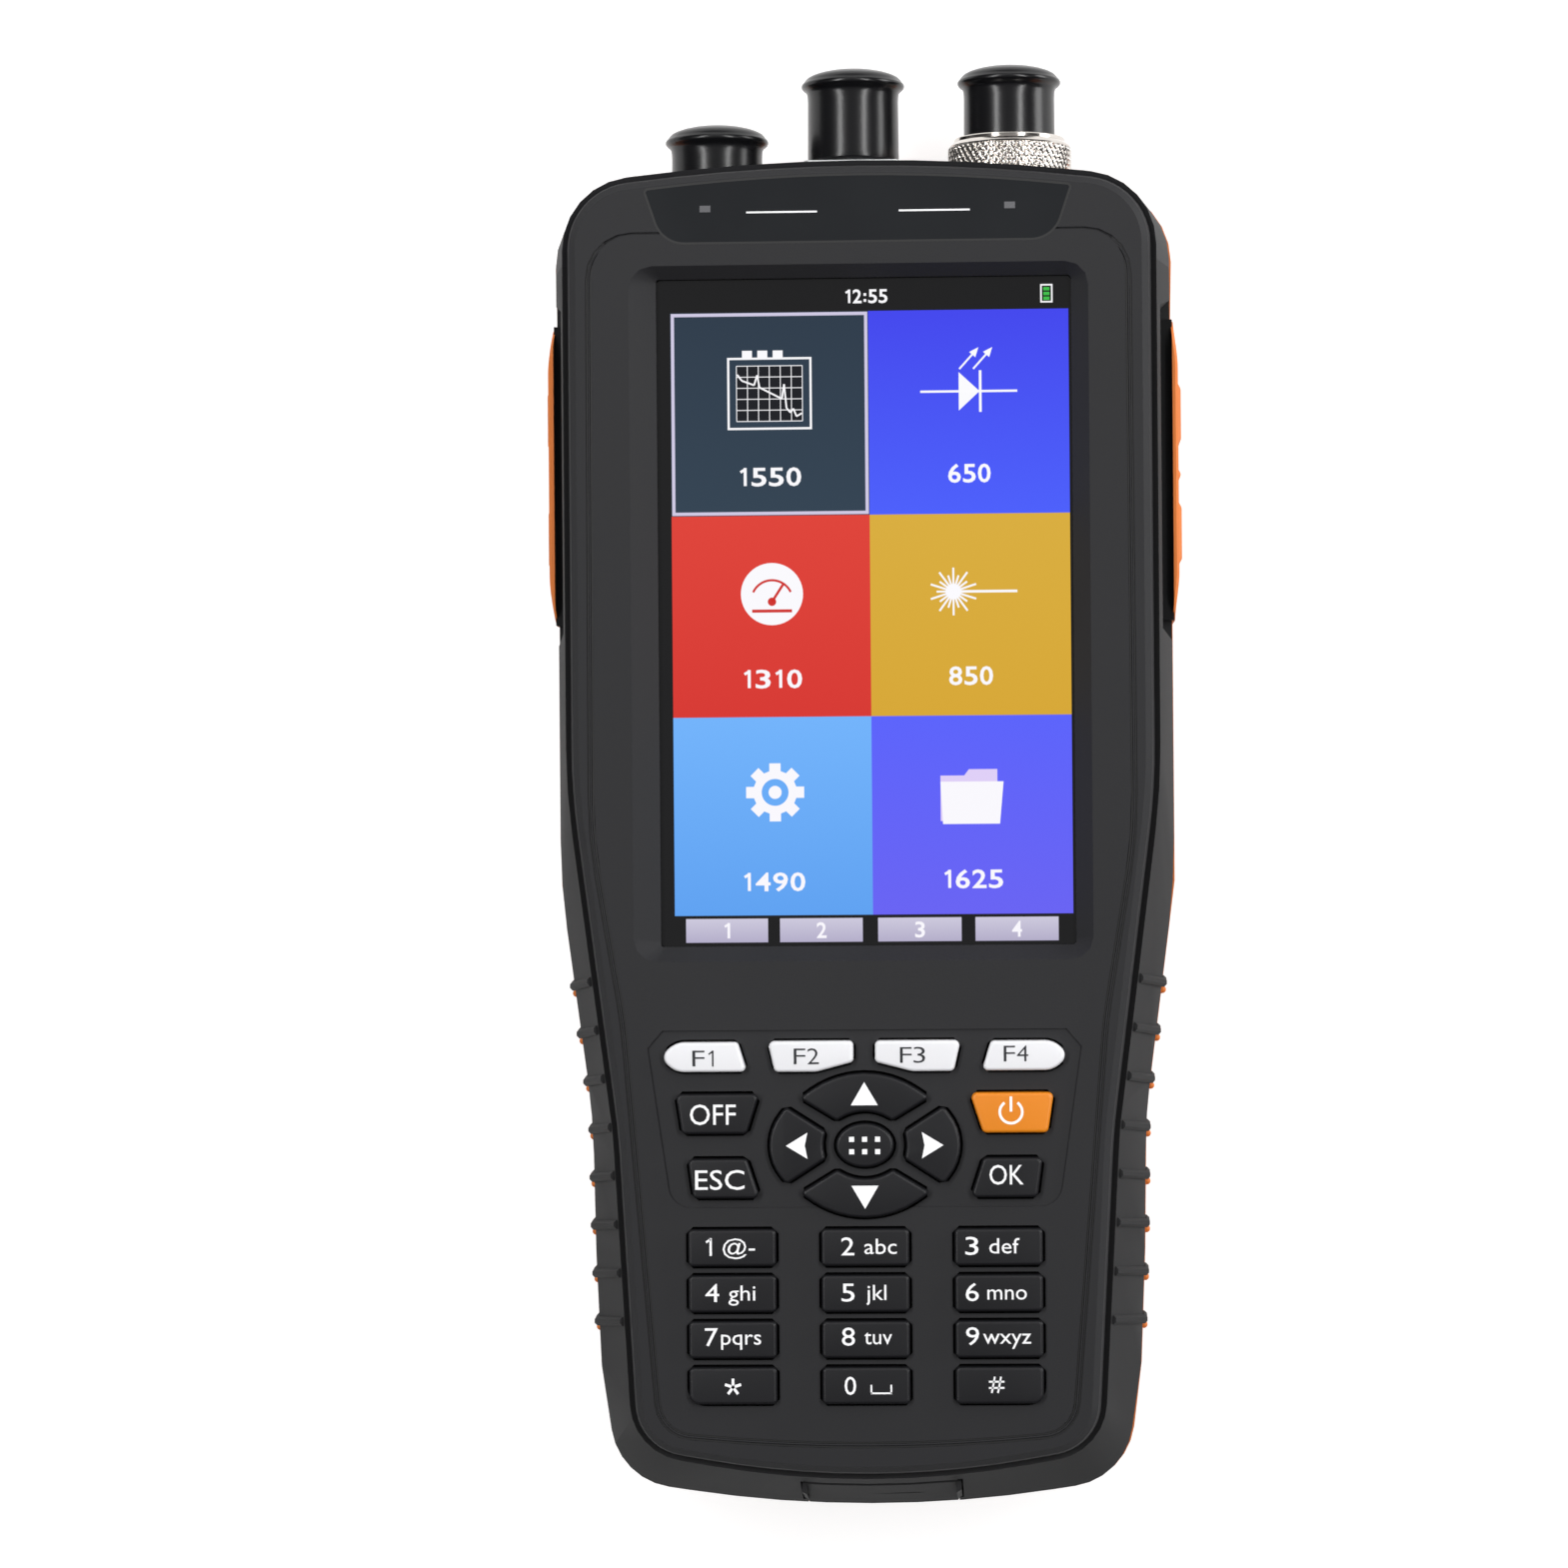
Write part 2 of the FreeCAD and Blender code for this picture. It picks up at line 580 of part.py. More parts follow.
def main_board():
    inside = prism(grow(CREASE, -SHELL_T - 0.5), 29.5, 31.1)
    board = inside.common(box(-40, 40, 21, 153, 29, 32))
    board = fused(board, box(-25, 25, 153, 166, 29.5, 31.1), box(-20, 20, 14, 21, 29.5, 31.1))
    link = box(-10, 10, 50, 55, 31.1, 34.4)
    chips = [box(-22, -8, 90, 104, 31.1, 32.6), box(4, 13, 92, 101, 31.1, 32.3),
             box(-16, 16, 120, 134, 31.1, 33.4), box(17, 25, 56, 64, 31.1, 33.6),
             box(-28, -20, 24, 34, 27.6, 29.5), box(14, 24, 26, 40, 27.9, 29.5)]
    return fused(board, link, *chips)


# ---------------------------------------------------------------- rear half
def rear_shell():
    line = grow(BODY, -BUMPER_T - REAR_T)
    shell = cut(rear_inner(Z_PART), plain(chords(line, (3, 4, 0, 0, 1, 1, 4, 3)), BACK_T, Z_PART + 1))
    bx0, bx1, by0, by1 = BAY
    bay = box(bx0 - 1.6, bx1 + 1.6, by0 - 1.6, by1 + 1.6, BACK_T - 1, BAY_TOP + 1.6)
    sx0, sx1, sy0, sy1 = STAND
    stand_wall = box(sx0 - 4.0, sx1 + 4.0, sy0 - 3.0, sy1 + 5.0, BACK_T - 1, POCKET_Z + 1.6)
    bosses = [stud(x, y, BACK_T - 1, Z_PART, BOSS_R) for x, y in CASE_SCREWS]
    bosses += [stud(x, y, BACK_T - 1, 12.0, 2.6) for x, y in DOOR_SCREWS]
    shell = fused(shell, bay, stand_wall, *bosses)
    cuts = [box(bx0, bx1, by0, by1, -1, BAY_TOP),
            prism(rectangle(*DOOR, 2.0), -1, DOOR_T),
            prism(rectangle(sx0 - 0.4, sx1 + 0.4, sy0 - 0.4, sy1 + 2.1, 1.0), -1, POCKET_Z)]
    pivot = Part.makeCylinder(PIVOT_R + RUN, 48, V(-24, sy1, PIVOT_Z), V(1, 0, 0))
    cuts.append(pivot.common(box(sx0 - 2.6, sx1 + 2.6, 0, 200, -1, 10)))
    cuts.append(box(-7, 7, sy0 - 4.4, sy0, -1, 2.2))
    for x, y in CASE_SCREWS:
        cuts += [stud(x, y, -1, 2.6, 2.8, 12), stud(x, y, 2.0, Z_PART + 1, 1.4)]
    for x, y in DOOR_SCREWS:
        cuts.append(stud(x, y, 1.0, 9.5, 1.1))
    cuts += [plate_notch(), cover_pocket(), rod(DC_X, -5, 10, 3.6, SOCKET_Z),
             box(USB_X - 4.6, USB_X + 4.6, -5, 10, SOCKET_Z - 1.7, SOCKET_Z + 1.7)]
    return cut(shell, *cuts)


def rear_bumper():
    inner = rear_inner(Z_PART + 1)
    band = rear_outer()
    ribs = [rib(s, y, True) for s in (-1, 1) for y in rib_levels()]
    band = band.multiFuse(ribs).common(box(-60, 60, -5, 190, 1.6, Z_PART))
    return cut(band, inner, *both_sides(grip_slab()), plate_notch(), cover_pocket())


def side_grip():
    grip = grip_slab()
    pads = [side_plate(rectangle(a, b, z0, z1, 0.6), GRIP_OUT - 0.5, GRIP_OUT + PAD)
            for a, b, z0, z1 in PADS]
    return fused(grip, *pads)


def battery_door():
    door = prism(rectangle(*[v + s for v, s in zip(DOOR, (0.1, -0.1, 0.1, -0.1))], 1.9), 0, DOOR_T)
    grips = [box(-8, 8, 92.0 - 3.0 * i, 93.2 - 3.0 * i, -1, 0.5) for i in range(3)]
    holes = []
    for x, y in DOOR_SCREWS:
        holes += [stud(x, y, -1, 0.9, 2.1, 12), stud(x, y, -1, DOOR_T + 1, 1.1)]
    return cut(door, *grips, *holes)


def battery_pack():
    x0, x1, y0, y1 = BAY
    return box(x0 + 0.2, x1 - 0.2, y0 + 0.2, y1 - 0.2, DOOR_T, BAY_TOP - 0.2)


def kickstand():
    x0, x1, y0, y1 = STAND
    plate = prism(rectangle(x0, x1, y0, y1, 1.0), STAND_Z, STAND_Z + STAND_T)
    plate = cut(plate, prism(rectangle(x0 + 6, x1 - 6, y0 + 9, y1 - 8, 1.0), 1.5, 10),
                box(x0 - 1, x1 + 1, y1 - 0.6, y1 + 2, -1, 10))
    knuckle = bar(V(x0, y1, PIVOT_Z), V(x1, y1, PIVOT_Z), KNUCKLE_R)
    pivot = Part.makeCylinder(PIVOT_R, x1 - x0 + 5.0, V(x0 - 2.5, y1, PIVOT_Z), V(1, 0, 0))
    return fused(plate, knuckle, pivot)


def case_screws():
    pieces = [fused(stud(x, y, 0.8, 2.6, 2.7, 12), stud(x, y, 2.5, 33.6, 1.4))
              for x, y in CASE_SCREWS]
    return Part.makeCompound(pieces)


def door_screws():
    pieces = [fused(stud(x, y, 0.1, 0.9, 2.0, 12), stud(x, y, 0.8, 9.0, 1.1))
              for x, y in DOOR_SCREWS]
    return Part.makeCompound(pieces)


def port_cover():
    half = COVER_W / 2
    blank = side_plate(cover_profile(0), COVER_X - half, COVER_X + half)
    outer = front_outer().common(box(-50, 50, -5, 20, Z_PART, 45))
    rear = rear_outer().common(box(-50, 50, -5, 20, 0, Z_PART))
    flap = fused(outer.common(blank), rear.common(blank))
    y, z = COVER_AXIS
    flap = flap.cut(box(-50, 50, -5, 10, 0, z))
    bead = Part.makeCylinder(COVER_BEAD_R, COVER_W, V(COVER_X - half, y, z), V(1, 0, 0))
    flap = fused(flap, bead)
    tongue = box(COVER_X - 6, COVER_X + 6, -3, 8, 33.4, 34.2)
    return flap.cut(tongue.cut(box(-50, 50, 3.1, 10, 30, 40)))


# ---------------------------------------------------------------- ports
def port_plate():
    w, z0, z1 = PLATE
    plate = prism(grow(BODY, 0.0), z0, z1).common(box(-w, w, PLATE_BACK, 190, z0, z1))
    h = WELL_R + 1.1
    cup = box(VFL_X - h, VFL_X + h, VFL_SEAT - 2.4, PLATE_BACK + 1, PORT_Z - h, PORT_Z + h)
    plate = fused(plate, cup)
    seat = box(OTDR_X - 6.6, OTDR_X + 6.6, PORT_SEAT, 190, PORT_Z - 6.6, PORT_Z + 6.6)
    well = many_sided(VFL_X, VFL_SEAT - 0.9, 190, WELL_R, sides=24)
    return cut(plate, seat, well, many_sided(VFL_X, 150, 190, 3.5),
               many_sided(OTDR_X, 150, 190, 5.2), many_sided(OPM_X, 150, 190, SOCKET_R))


def otdr_adapter():
    side, t = FLANGE
    y0 = PORT_SEAT
    h = side / 2
    flange = box(OTDR_X - h, OTDR_X + h, y0, y0 + t, PORT_Z - h, PORT_Z + h)
    flange = flange.makeChamfer(0.5, [e for e in flange.Edges if abs(e.tangentAt(0).y) > 0.9])
    body = fused(flange, many_sided(OTDR_X, 166.0, y0 + 0.1, 5.1),
                 many_sided(OTDR_X, y0, 186.0, FERRULE_R - 0.14))
    key = box(OTDR_X - 1.0, OTDR_X + 1.0, 183.6, 190, PORT_Z, PORT_Z + 6)
    return cut(body, many_sided(OTDR_X, 172.0, 190, 2.8), many_sided(OTDR_X, 160, 175, 1.6), key)


def otdr_sleeve():
    return many_sided(OTDR_X, 166.6, 184.6, 1.6).cut(many_sided(OTDR_X, 160, 190, 1.25))


def opm_socket():
    barrel = many_sided(OPM_X, 166.0, PORT_SEAT, SOCKET_R)
    barrel = fused(barrel, rod(OPM_X, PORT_SEAT - 0.1, COLLAR_FLOOR - 1.0, SOCKET_R))
    return barrel.cut(many_sided(OPM_X, 172.0, 190, 2.6))


def opm_collar():
    y0, y1, y2 = COLLAR_Y
    floor = COLLAR_FLOOR
    outer = COLLAR_R * math.cos(math.pi / 24)
    ring = fused(many_sided(OPM_X, y0, y1, outer, sides=24),
                 many_sided(OPM_X, y1 - 0.1, y2, 7.24, sides=24))
    ring = cut(ring, many_sided(OPM_X, floor, y2 + 1, 6.25, sides=24),
               rod(OPM_X, y0 - 1, floor - 0.7, SOCKET_R + GAP))
    spigot = many_sided(OPM_X, floor - 0.1, SPIGOT_TOP, FERRULE_R - 0.14)
    return cut(fused(ring, spigot), many_sided(OPM_X, 160, 200, 1.4))


def vfl_port():
    y = VFL_SEAT
    base = many_sided(VFL_X, y - 0.9, y, 6.25, sides=24)
    nose = many_sided(VFL_X, y - 0.1, y + 7.5, FERRULE_R - 0.14)
    return cut(fused(base, nose), many_sided(VFL_X, 160, 200, 1.3))


def vfl_laser():
    body = many_sided(VFL_X, 146.0, VFL_SEAT - 0.9, 3.4)
    holder = box(VFL_X - 5, VFL_X + 5, 147, 160, POCKET_Z + 1.6, PORT_Z + 1)
    return fused(body, holder)


def dust_cap(which):
    x, y = CAP_SEATS[which]
    n = CAP_LEN
    barrel = many_sided(x, y, y + n, 5.85, sides=24)
    rim = many_sided(x, y + n - 2.7, y + n - 0.7, 6.8, sides=24)
    bore = many_sided(x, y - 1, y + n - 3.4, FERRULE_R + GAP)
    return cut(fused(barrel, rim), bore)


def optical_module():
    case = box(-12.0, HALF_W - 7.6, 112.0, 150.0, POCKET_Z + 1.6, 24.0)
    case = case.makeChamfer(1.0, [e for e in case.Edges if abs(e.tangentAt(0).z) > 0.9])
    neck = box(-6.0, 5.0, 150.0, 166.0, 17.0, 27.0)
    lid = box(-9.0, HALF_W - 10.6, 115.0, 147.0, 24.0, 29.5)
    meter = box(14.0, 25.0, 150.0, 166.0, 17.0, 27.0)
    return fused(case, neck, lid, meter)


def dc_socket():
    body = box(DC_X - 4.5, DC_X + 4.5, 6.0, 15.0, SOCKET_Z - 5, SOCKET_Z + 5)
    return cut(body, rod(DC_X, 0, 12.0, 2.75, SOCKET_Z))


def dc_pin():
    return many_sided(DC_X, 6.3, 12.1, 1.0, SOCKET_Z)


def usb_socket():
    shell = box(USB_X - 4.6, USB_X + 4.6, 4.1, 11.0, SOCKET_Z - 1.7, SOCKET_Z + 1.7)
    shell = shell.cut(box(USB_X - 4.1, USB_X + 4.1, 0, 10.4, SOCKET_Z - 1.2, SOCKET_Z + 1.2))
    tongue = box(USB_X - 3.2, USB_X + 3.2, 4.5, 10.5, SOCKET_Z - 0.4, SOCKET_Z + 0.3)
    foot = box(USB_X - 5.0, USB_X + 5.0, 6.5, 11.0, SOCKET_Z - 3.4, SOCKET_Z - 1.7)
    return fused(shell, tongue, foot)


def socket_board():
    return box(-12.0, 14.0, 6.3, 20.4, SOCKET_Z - 6.6, SOCKET_Z - 5.0)


# ---------------------------------------------------------------- write every piece
def main():
    for name, (points, band) in key_outlines().items():
        save(name, key_solid(points, band))
    save("key_menu", menu_key())
    right = side_grip()
    pieces = {"front_shell": front_shell(), "front_bumper": front_bumper(),
              "label_strip": label_strip(), "light_pipes": light_pipes(),
              "screen_lens": screen_lens(), "lcd_panel": lcd_panel(),
              "keypad_mat": keypad_mat(), "keypad_board": keypad_board(),
              "main_board": main_board(), "rear_shell": rear_shell(),
              "rear_bumper": rear_bumper(), "side_grip_right": right,
              "side_grip_left": both_sides(right)[1], "battery_door": battery_door(),
              "battery_pack": battery_pack(), "kickstand": kickstand(),
              "case_screws": case_screws(), "door_screws": door_screws(),
              "port_cover": port_cover(), "port_plate": port_plate(),
              "otdr_adapter": otdr_adapter(), "otdr_sleeve": otdr_sleeve(),
              "opm_socket": opm_socket(),
              "opm_collar": opm_collar(), "vfl_port": vfl_port(), "vfl_laser": vfl_laser(),
              "optical_module": optical_module(), "dc_socket": fused(dc_socket(), dc_pin()),
              "usb_socket": usb_socket(), "socket_board": socket_board()}
    for which in CAP_SEATS:
        pieces["dust_cap_" + which] = dust_cap(which)
    for name, shape in pieces.items():
        save(name, shape)


main()
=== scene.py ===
# %% [markdown]
# # A handheld fibre tester, dressed for a studio picture
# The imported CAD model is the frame: it says where every piece is and how it moves.
# This script gives those pieces their finish, and rebuilds the ones whose small forms
# carry the look, such as keys, rubber caps, the knurled collar and the lit display.

import math

import bmesh
import bpy
import numpy as np
from mathutils import Matrix, Vector


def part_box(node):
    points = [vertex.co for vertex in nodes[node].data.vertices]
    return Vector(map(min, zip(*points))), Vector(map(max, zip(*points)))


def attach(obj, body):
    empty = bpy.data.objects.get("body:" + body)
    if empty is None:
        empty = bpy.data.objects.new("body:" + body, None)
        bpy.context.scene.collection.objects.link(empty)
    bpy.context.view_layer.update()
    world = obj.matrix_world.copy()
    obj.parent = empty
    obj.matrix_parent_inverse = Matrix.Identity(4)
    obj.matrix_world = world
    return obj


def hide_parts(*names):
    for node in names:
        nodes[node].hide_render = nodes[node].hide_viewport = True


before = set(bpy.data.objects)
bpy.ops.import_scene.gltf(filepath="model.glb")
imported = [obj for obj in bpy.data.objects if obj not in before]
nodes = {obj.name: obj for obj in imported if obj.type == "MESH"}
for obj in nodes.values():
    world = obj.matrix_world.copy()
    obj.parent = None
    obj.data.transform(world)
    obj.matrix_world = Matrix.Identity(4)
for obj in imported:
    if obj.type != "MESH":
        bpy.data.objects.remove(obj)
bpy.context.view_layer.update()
scene = bpy.context.scene
print("pieces in the frame:", len(nodes))

# %% [markdown]
# ## Lengths
# Blender works in metres, but a housing is drawn in millimetres, so every drawn length is
# a plain number in millimetres and goes through `MM` once, when a mesh is written.
# Outlines count y from the bottom end of the body, and `Y_LOW` is where that end lies.

# %% Units and the places read from the frame
MM = 0.001
LOW_END = 0.3


def low(node, axis):
    """Least coordinate of a node along an axis, in millimetres."""
    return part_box(node)[0][axis] / MM


def high(node, axis):
    """Greatest coordinate of a node along an axis, in millimetres."""
    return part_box(node)[1][axis] / MM


Y_LOW = low("rear_bumper", 1) - LOW_END
Z_FACE = high("label_strip", 2)
INK = 0.03
Z_KEY = high("key_5", 2) - INK
Z_KEY_FOOT = low("key_5", 2)
Z_GLASS = high("screen_lens", 2)
BODY_HALF = high("front_bumper", 0)
Z_PART, Z_WALL, Z_CREASE = 27.0, 29.5, 39.4
print("bottom end of the body at y =", round(Y_LOW, 2), "mm; face at z =", round(Z_FACE, 2), "mm")

# %% [markdown]
# ## Finishes
# Moulded plastic is never one flat colour: a spark-eroded mould leaves a fine grain, and
# the gloss wanders a little over the part. Each finish below is one Principled shader with
# a noise on Object coordinates for the grain, and a wider, fainter noise for the gloss.

# %% A finish from a few plain words
def linear(r, g, b):
    """Colour as it is seen on a screen, 0 to 255, turned into the numbers that light obeys."""
    c = np.array([r, g, b]) / 255.0
    c = np.where(c <= 0.04045, c / 12.92, ((c + 0.055) / 1.055) ** 2.4)
    return (float(c[0]), float(c[1]), float(c[2]), 1.0)


def finish(name, colour, rough, grain=0.0, grain_mm=0.25, wander=0.06, metal=0.0, coat=0.0,
           sheen=0.0, glow=0.0, specular=0.5, tint=0.10):
    """One procedural finish: colour and gloss vary a little, and the grain is a bump."""
    mat = bpy.data.materials.new(name)
    mat.use_nodes = True
    tree = mat.node_tree
    shader = tree.nodes["Principled BSDF"]
    shader.inputs["Metallic"].default_value = metal
    shader.inputs["Coat Weight"].default_value = coat
    shader.inputs["Coat Roughness"].default_value = 0.12
    shader.inputs["Sheen Weight"].default_value = sheen
    shader.inputs["Specular IOR Level"].default_value = specular
    place = tree.nodes.new("ShaderNodeTexCoord")
    broad = tree.nodes.new("ShaderNodeTexNoise")
    broad.inputs["Scale"].default_value = 60.0
    broad.inputs["Detail"].default_value = 3.0
    tree.links.new(place.outputs["Object"], broad.inputs["Vector"])
    gloss = tree.nodes.new("ShaderNodeMapRange")
    gloss.inputs["To Min"].default_value = max(0.02, rough - wander)
    gloss.inputs["To Max"].default_value = min(1.0, rough + wander)
    tree.links.new(broad.outputs["Fac"], gloss.inputs["Value"])
    tree.links.new(gloss.outputs["Result"], shader.inputs["Roughness"])
    shade = tree.nodes.new("ShaderNodeMix")
    shade.data_type = "RGBA"
    shade.inputs[6].default_value = tuple(v * (1 - tint) for v in colour[:3]) + (1.0,)
    shade.inputs[7].default_value = tuple(min(1.0, v * (1 + tint)) for v in colour[:3]) + (1.0,)
    tree.links.new(broad.outputs["Fac"], shade.inputs[0])
    tree.links.new(shade.outputs[2], shader.inputs["Base Color"])
    if glow:
        shader.inputs["Emission Color"].default_value = colour
        shader.inputs["Emission Strength"].default_value = glow
    if grain:
        fine = tree.nodes.new("ShaderNodeTexNoise")
        fine.inputs["Scale"].default_value = 1.0 / (grain_mm * MM)
        fine.inputs["Detail"].default_value = 2.0
        tree.links.new(place.outputs["Object"], fine.inputs["Vector"])
        bump = tree.nodes.new("ShaderNodeBump")
        bump.inputs["Strength"].default_value = grain
        bump.inputs["Distance"].default_value = 0.03 * MM
        tree.links.new(fine.outputs["Fac"], bump.inputs["Height"])
        tree.links.new(bump.outputs["Normal"], shader.inputs["Normal"])
    return mat


BLACK_CASE = finish("moulded_black", linear(37, 37, 39), 0.60, grain=0.35, grain_mm=0.22,
                    specular=0.22)
BLACK_RUBBER = finish("black_overmould", linear(38, 38, 39), 0.66, grain=0.30, grain_mm=0.16,
                      specular=0.16)
ORANGE_RUBBER = finish("orange_overmould", linear(228, 122, 40), 0.60, grain=0.30, grain_mm=0.16,
                       sheen=0.08)
STRIP_FILM = finish("satin_strip", linear(24, 26, 29), 0.36, grain=0.10, grain_mm=0.5,
                    specular=0.18)
BLACK_KEY = finish("key_black", linear(22, 22, 25), 0.42, grain=0.12, grain_mm=0.3,
                   specular=0.3)
WHITE_KEY = finish("key_white", linear(226, 226, 229), 0.40, grain=0.10, grain_mm=0.3, tint=0.02)
ORANGE_KEY = finish("key_orange", linear(220, 128, 16), 0.40, grain=0.10, grain_mm=0.3, tint=0.04)
WHITE_INK = finish("ink_white", linear(245, 245, 247), 0.45, tint=0.02)
DARK_INK = finish("ink_dark", linear(28, 28, 34), 0.45)
CAP_RUBBER = finish("cap_rubber", linear(16, 16, 18), 0.26, grain=0.16, grain_mm=0.5,
                    specular=0.34)
NICKEL = finish("turned_nickel", linear(214, 208, 202), 0.14, metal=1.0, wander=0.04, tint=0.05)
PLATED = finish("plated_flange", linear(214, 216, 216), 0.45, metal=0.6)
STEEL = finish("plated_steel", linear(150, 150, 152), 0.30, metal=1.0)
SCREEN_BLACK = finish("screen_black", linear(10, 10, 12), 0.12, coat=0.2, wander=0.02)
GREEN_BOARD = finish("circuit_board", linear(20, 70, 40), 0.45)
GREY_METAL = finish("module_metal", linear(150, 152, 155), 0.35, metal=1.0)
# Dark plastic of the sockets and keypad mat; the same finish is the painted shade laid in the panel
# and strip grooves.
DARK_PLASTIC_AND_SHADE = finish("socket_black_and_groove_shade", linear(16, 16, 17), 0.5)
CERAMIC = finish("sleeve_white", linear(238, 238, 232), 0.2)
LIGHT_PIPE = finish("light_window", linear(96, 96, 99), 0.25)
SLEEVE = finish("battery_wrap", linear(60, 90, 150), 0.35)
print("finishes:", len(bpy.data.materials))

# %% [markdown]
# ## Rounded outlines
# Almost every piece of such a housing is an outline with rounded corners, carried through a
# profile: a key, a grip, a strip, a bead. `rounded` turns a list of corners into points. At
# each corner the two sides are left at the tangent points of a circle, and the arc between
# them is the start point turned about the centre of that circle.

# %% The outline and the ring helpers
def rounded(corners, inset=0.0, steps=8):
    """Points round an outline of (x, y, radius), moved inwards by inset.

    A corner moves along both of its sides by the inset and the tangent of half its turn.
    Its arc is start + turning the radius vector from 0 to the whole turn, in equal steps.
    """
    c = np.asarray(corners, float)
    p, r = c[:, :2], c[:, 2]
    u = p - np.roll(p, 1, 0)
    w = np.roll(p, -1, 0) - p
    u = u / np.linalg.norm(u, axis=1)[:, None]
    w = w / np.linalg.norm(w, axis=1)[:, None]
    half = np.arctan2(u[:, 0] * w[:, 1] - u[:, 1] * w[:, 0], (u * w).sum(1)) / 2
    left = np.stack([-u[:, 1], u[:, 0]], 1)
    p = p + inset * left - (inset * np.tan(half))[:, None] * u
    side = np.sign(half) + (half == 0)
    r = np.maximum(r - inset * side, 0.02)
    start = p - u * (r * np.tan(np.abs(half)))[:, None]
    centre = start + left * (r * side)[:, None]
    arm = start - centre
    turn = np.linspace(0, 1, steps + 1)[None, :] * 2 * half[:, None]
    x = centre[:, :1] + np.cos(turn) * arm[:, :1] - np.sin(turn) * arm[:, 1:]
    y = centre[:, 1:] + np.sin(turn) * arm[:, :1] + np.cos(turn) * arm[:, 1:]
    return np.stack([x.ravel(), y.ravel()], 1)


def ring(points, z):
    """The outline as a closed row of 3-D points at one height, in the row frame."""
    return np.column_stack([points[:, 0], points[:, 1] + Y_LOW, np.full(len(points), z)])


def skin(rings, ends=True, loop=False):
    """Vertices and faces of a surface through rings of equal length, each one closed."""
    grid = np.stack(rings)
    m, n = grid.shape[:2]
    rows = m if loop else m - 1
    i, j = np.meshgrid(np.arange(rows), np.arange(n), indexing="ij")
    a = i * n + j
    b = i * n + (j + 1) % n
    c = ((i + 1) % m) * n + (j + 1) % n
    d = ((i + 1) % m) * n + j
    faces = np.stack([a, b, c, d], -1).reshape(-1, 4).tolist()
    if ends and not loop:
        faces.append(list(range(n))[::-1])
        faces.append(list(range((m - 1) * n, m * n)))
    return grid.reshape(-1, 3), faces


def join(*parts):
    """Several (vertices, faces) as one."""
    verts, faces, base = [], [], 0
    for v, f in parts:
        verts.append(v)
        faces += [[k + base for k in face] for face in f]
        base += len(v)
    return np.concatenate(verts), faces


def add_piece(name, shape, body, material, replaces=(), sharp=35.0, weld=True):
    """Writes a mesh in metres, points its faces outwards, and hangs it on its body."""
    verts, faces = shape
    mesh = bpy.data.meshes.new(name)
    mesh.from_pydata((np.asarray(verts) * MM).tolist(), [], faces)
    build = bmesh.new()
    build.from_mesh(mesh)
    if weld:
        bmesh.ops.remove_doubles(build, verts=build.verts, dist=0.0005 * MM)
        bmesh.ops.recalc_face_normals(build, faces=build.faces)
    build.to_mesh(mesh)
    build.free()
    return add_mesh(name, mesh, body, material, replaces, sharp)


def add_mesh(name, mesh, body, material, replaces=(), sharp=35.0):
    """Shades a mesh, gives it one material, and hangs it on its body."""
    mesh.shade_smooth()
    mesh.set_sharp_from_angle(angle=math.radians(sharp))
    mesh.materials.clear()
    mesh.materials.append(material)
    piece = bpy.data.objects.new(name, mesh)
    scene.collection.objects.link(piece)
    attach(piece, body)
    if replaces:
        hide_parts(*replaces)
    return piece


def mirrored(half):
    """A whole outline from its right half, bottom centre to top centre."""
    return half + [(-x, y, r) for x, y, r in half[-2:0:-1]]


def flip_x(corners):
    """The outline with x turned to -x, still anticlockwise."""
    return [(-x, y, r) for x, y, r in corners[::-1]]


def flip_y(corners, about):
    """The outline mirrored about a level of y."""
    return [(x, 2 * about - y, r) for x, y, r in corners[::-1]]


def rectangle(x0, x1, y0, y1, r):
    """Four corners of one radius."""
    return [(x1, y0, r), (x1, y1, r), (x0, y1, r), (x0, y0, r)]


# %% [markdown]
# ## Housing pieces
# The shells are exact in the frame, so they aren't redrawn. A copy of each is merged, its
# flat faces are made whole, and a narrow bevel breaks every edge, because a moulded edge is
# never knife sharp and it is the edge that catches the light.

# %% Copy a node, break its edges and give it a finish
def dress(node, body, material, edge=0.12, angle=24.0, sharp=48.0, reshape=None, plug=None):
    """A merged, bevelled copy of a node; reshape moves its points, plug fills a hollow of it."""
    source = nodes[node]
    mesh = source.data.copy()
    build = bmesh.new()
    build.from_mesh(mesh)
    bmesh.ops.remove_doubles(build, verts=build.verts, dist=0.001 * MM)
    if plug:
        lost = [v for v in build.verts if plug(v.co.x / MM, v.co.y / MM - Y_LOW, v.co.z / MM)]
        bmesh.ops.delete(build, geom=lost, context="VERTS")
        bmesh.ops.holes_fill(build, edges=[e for e in build.edges if e.is_boundary], sides=0)
    bmesh.ops.dissolve_limit(build, angle_limit=math.radians(0.4), verts=build.verts,
                             edges=build.edges)
    build.to_mesh(mesh)
    build.free()
    if reshape:
        at = np.empty(len(mesh.vertices) * 3, np.float32)
        mesh.vertices.foreach_get("co", at)
        at = at.reshape(-1, 3).astype(float) / MM - (0, Y_LOW, 0)
        at = (reshape(at) + (0, Y_LOW, 0)) * MM
        mesh.vertices.foreach_set("co", at.astype(np.float32).ravel())
        mesh.update()
    piece = add_mesh("dressed_" + node, mesh, body, material, (node,), sharp)
    bevel = piece.modifiers.new("edge", "BEVEL")
    bevel.width = edge * MM
    bevel.segments = 2
    bevel.limit_method = "ANGLE"
    bevel.angle_limit = math.radians(angle)
    bevel.harden_normals = False
    normals = piece.modifiers.new("normals", "WEIGHTED_NORMAL")
    normals.keep_sharp = True
    return piece


